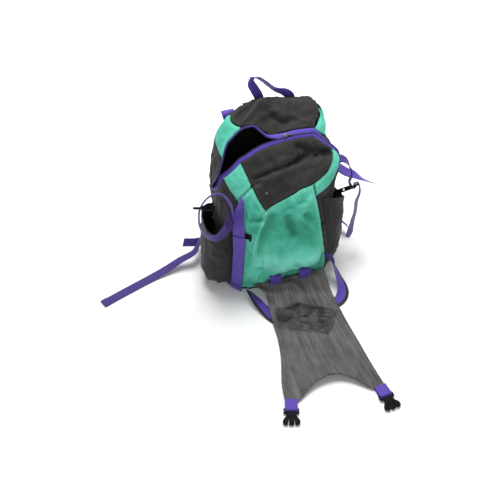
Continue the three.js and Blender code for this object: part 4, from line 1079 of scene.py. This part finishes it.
# The flap's webbing: two hinge straps sewn under its near edge, and two side straps with a dark
# bound edge that tie it back to the bag.
edged_purple = woven_tape("dark_edged_purple_webbing", "3a267e", "50369f", "6c4fc0", selvedge="17142a")
for side, x in (("left", -33), ("right", 31)):
    webbing("flap_hinge_webbing_" + side, [
        (x, -106, 38, 0), (x, -113, 48, 0), (x, -120, 48, 0), (x, -124, 38, 0), (x, -122, 24, 0),
        (x, -121, 15, 0), (x, -128, 11, 0),
    ], (1, 0, 0), node="flap_hinge_" + side)
webbing("flap_side_webbing_left", [
    (-89, -109, 12, -58), (-83, -132, 9, -38), (-73, -160, 4, -14), (-62, -186, 1.4, 0), (-50, -204, 1.4, 0),
], (.94, -.34, 0), node="flap_strap_left", look=edged_purple, sewn=(0.08,))
webbing("flap_side_webbing_right", [
    (85, -112.5, 72, 30), (95, -119, 46, 42), (102, -135, 22, 50), (105, -153, 12, 60), (101, -171, 6, 76),
    (88, -185, 1.9, 90), (64, -194, 1.5, 90),
], (0, 0, 1), node="flap_strap_right", look=edged_purple, sewn=(0.05,))

# The flap's end tabs: short webbing folded round the bar of each buckle and sewn to the horns.
# The fold is the way out from the horn and the height, in mm.
TAB_FOLD = [(0, 6.5), (9, 6.9), (17, 8), (23, 8.2), (26.4, 7.4), (27.5, 5.2), (27.5, 3), (26, 1.3), (19, 1.1),
            (9, 1.2), (0, 1.4)]
for side, x, y, over, on in [("left", -95.42, -398.25, -.3162, -.9487), ("right", 82.5, -421.02, .1, -.995)]:
    webbing("flap_tab_webbing_" + side, [(x + over * far, y + on * far, high, 0) for far, high in TAB_FOLD],
            (on, -over, 0), node="flap_tab_" + side, sewn=(0.05, 0.2))

# The straps' tacks: rows of lockstitch in purple polyester thread across each sewn end, on both
# faces of the webbing. One stitch is modelled and copied to each place.
row = copies_at(one_stitch(0.0026, 0.0008), tacks, "strap_tack_rows")
row.data.materials.append(spun_thread("purple_tack_thread", "2c1d66", "5a45ae"))

# The buckles and the strap slider: black moulded acetal with softened edges. The slider has slid a
# little way from the middle of its strap to the strap's fold.
SLIDER_MOVED = (0.0077, -0.0011, 0.0052)
acetal = moulded_plastic("black_moulded_acetal", "050506", "101011", 0.58)
acetal.node_tree.nodes["Principled BSDF"].inputs["Specular IOR Level"].default_value = 0.14
for node in ["compression_slider", "closure_buckle_left", "closure_buckle_right", "flap_buckle_left",
             "flap_buckle_right"]:
    buckle = copy_of(node, node + "_moulded")
    if node == "compression_slider":
        bpy.ops.transform.translate(value=SLIDER_MOVED)
        bpy.ops.object.transform_apply(location=True, rotation=False, scale=False)
    edit(bpy.ops.mesh.dissolve_limited, angle_limit=math.radians(3))
    modify(buckle, "BEVEL", width=0.0005, segments=2, limit_method="ANGLE", angle_limit=math.radians(35))
    bpy.ops.object.shade_smooth_by_angle(angle=math.radians(40))
    buckle.data.materials.append(acetal)
    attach(buckle, "root")
    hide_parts(node)

# The small metal: the zip's slider, where the open half meets the shut half, and a snap on the
# front yoke. Both are die-cast and plated dull grey.
plated = moulded_plastic("dull_plated_metal", "6f7176", "a9abb0", 0.28)
plated.node_tree.nodes["Principled BSDF"].inputs["Metallic"].default_value = 0.9
for node in ["zip_slider", "front_snap"]:
    fitting = copy_of(node, node + "_plated")
    modify(fitting, "BEVEL", width=0.0004, segments=2, limit_method="ANGLE", angle_limit=math.radians(35))
    bpy.ops.object.shade_smooth_by_angle(angle=math.radians(40))
    fitting.data.materials.append(plated)
    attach(fitting, "root")
    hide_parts(node)
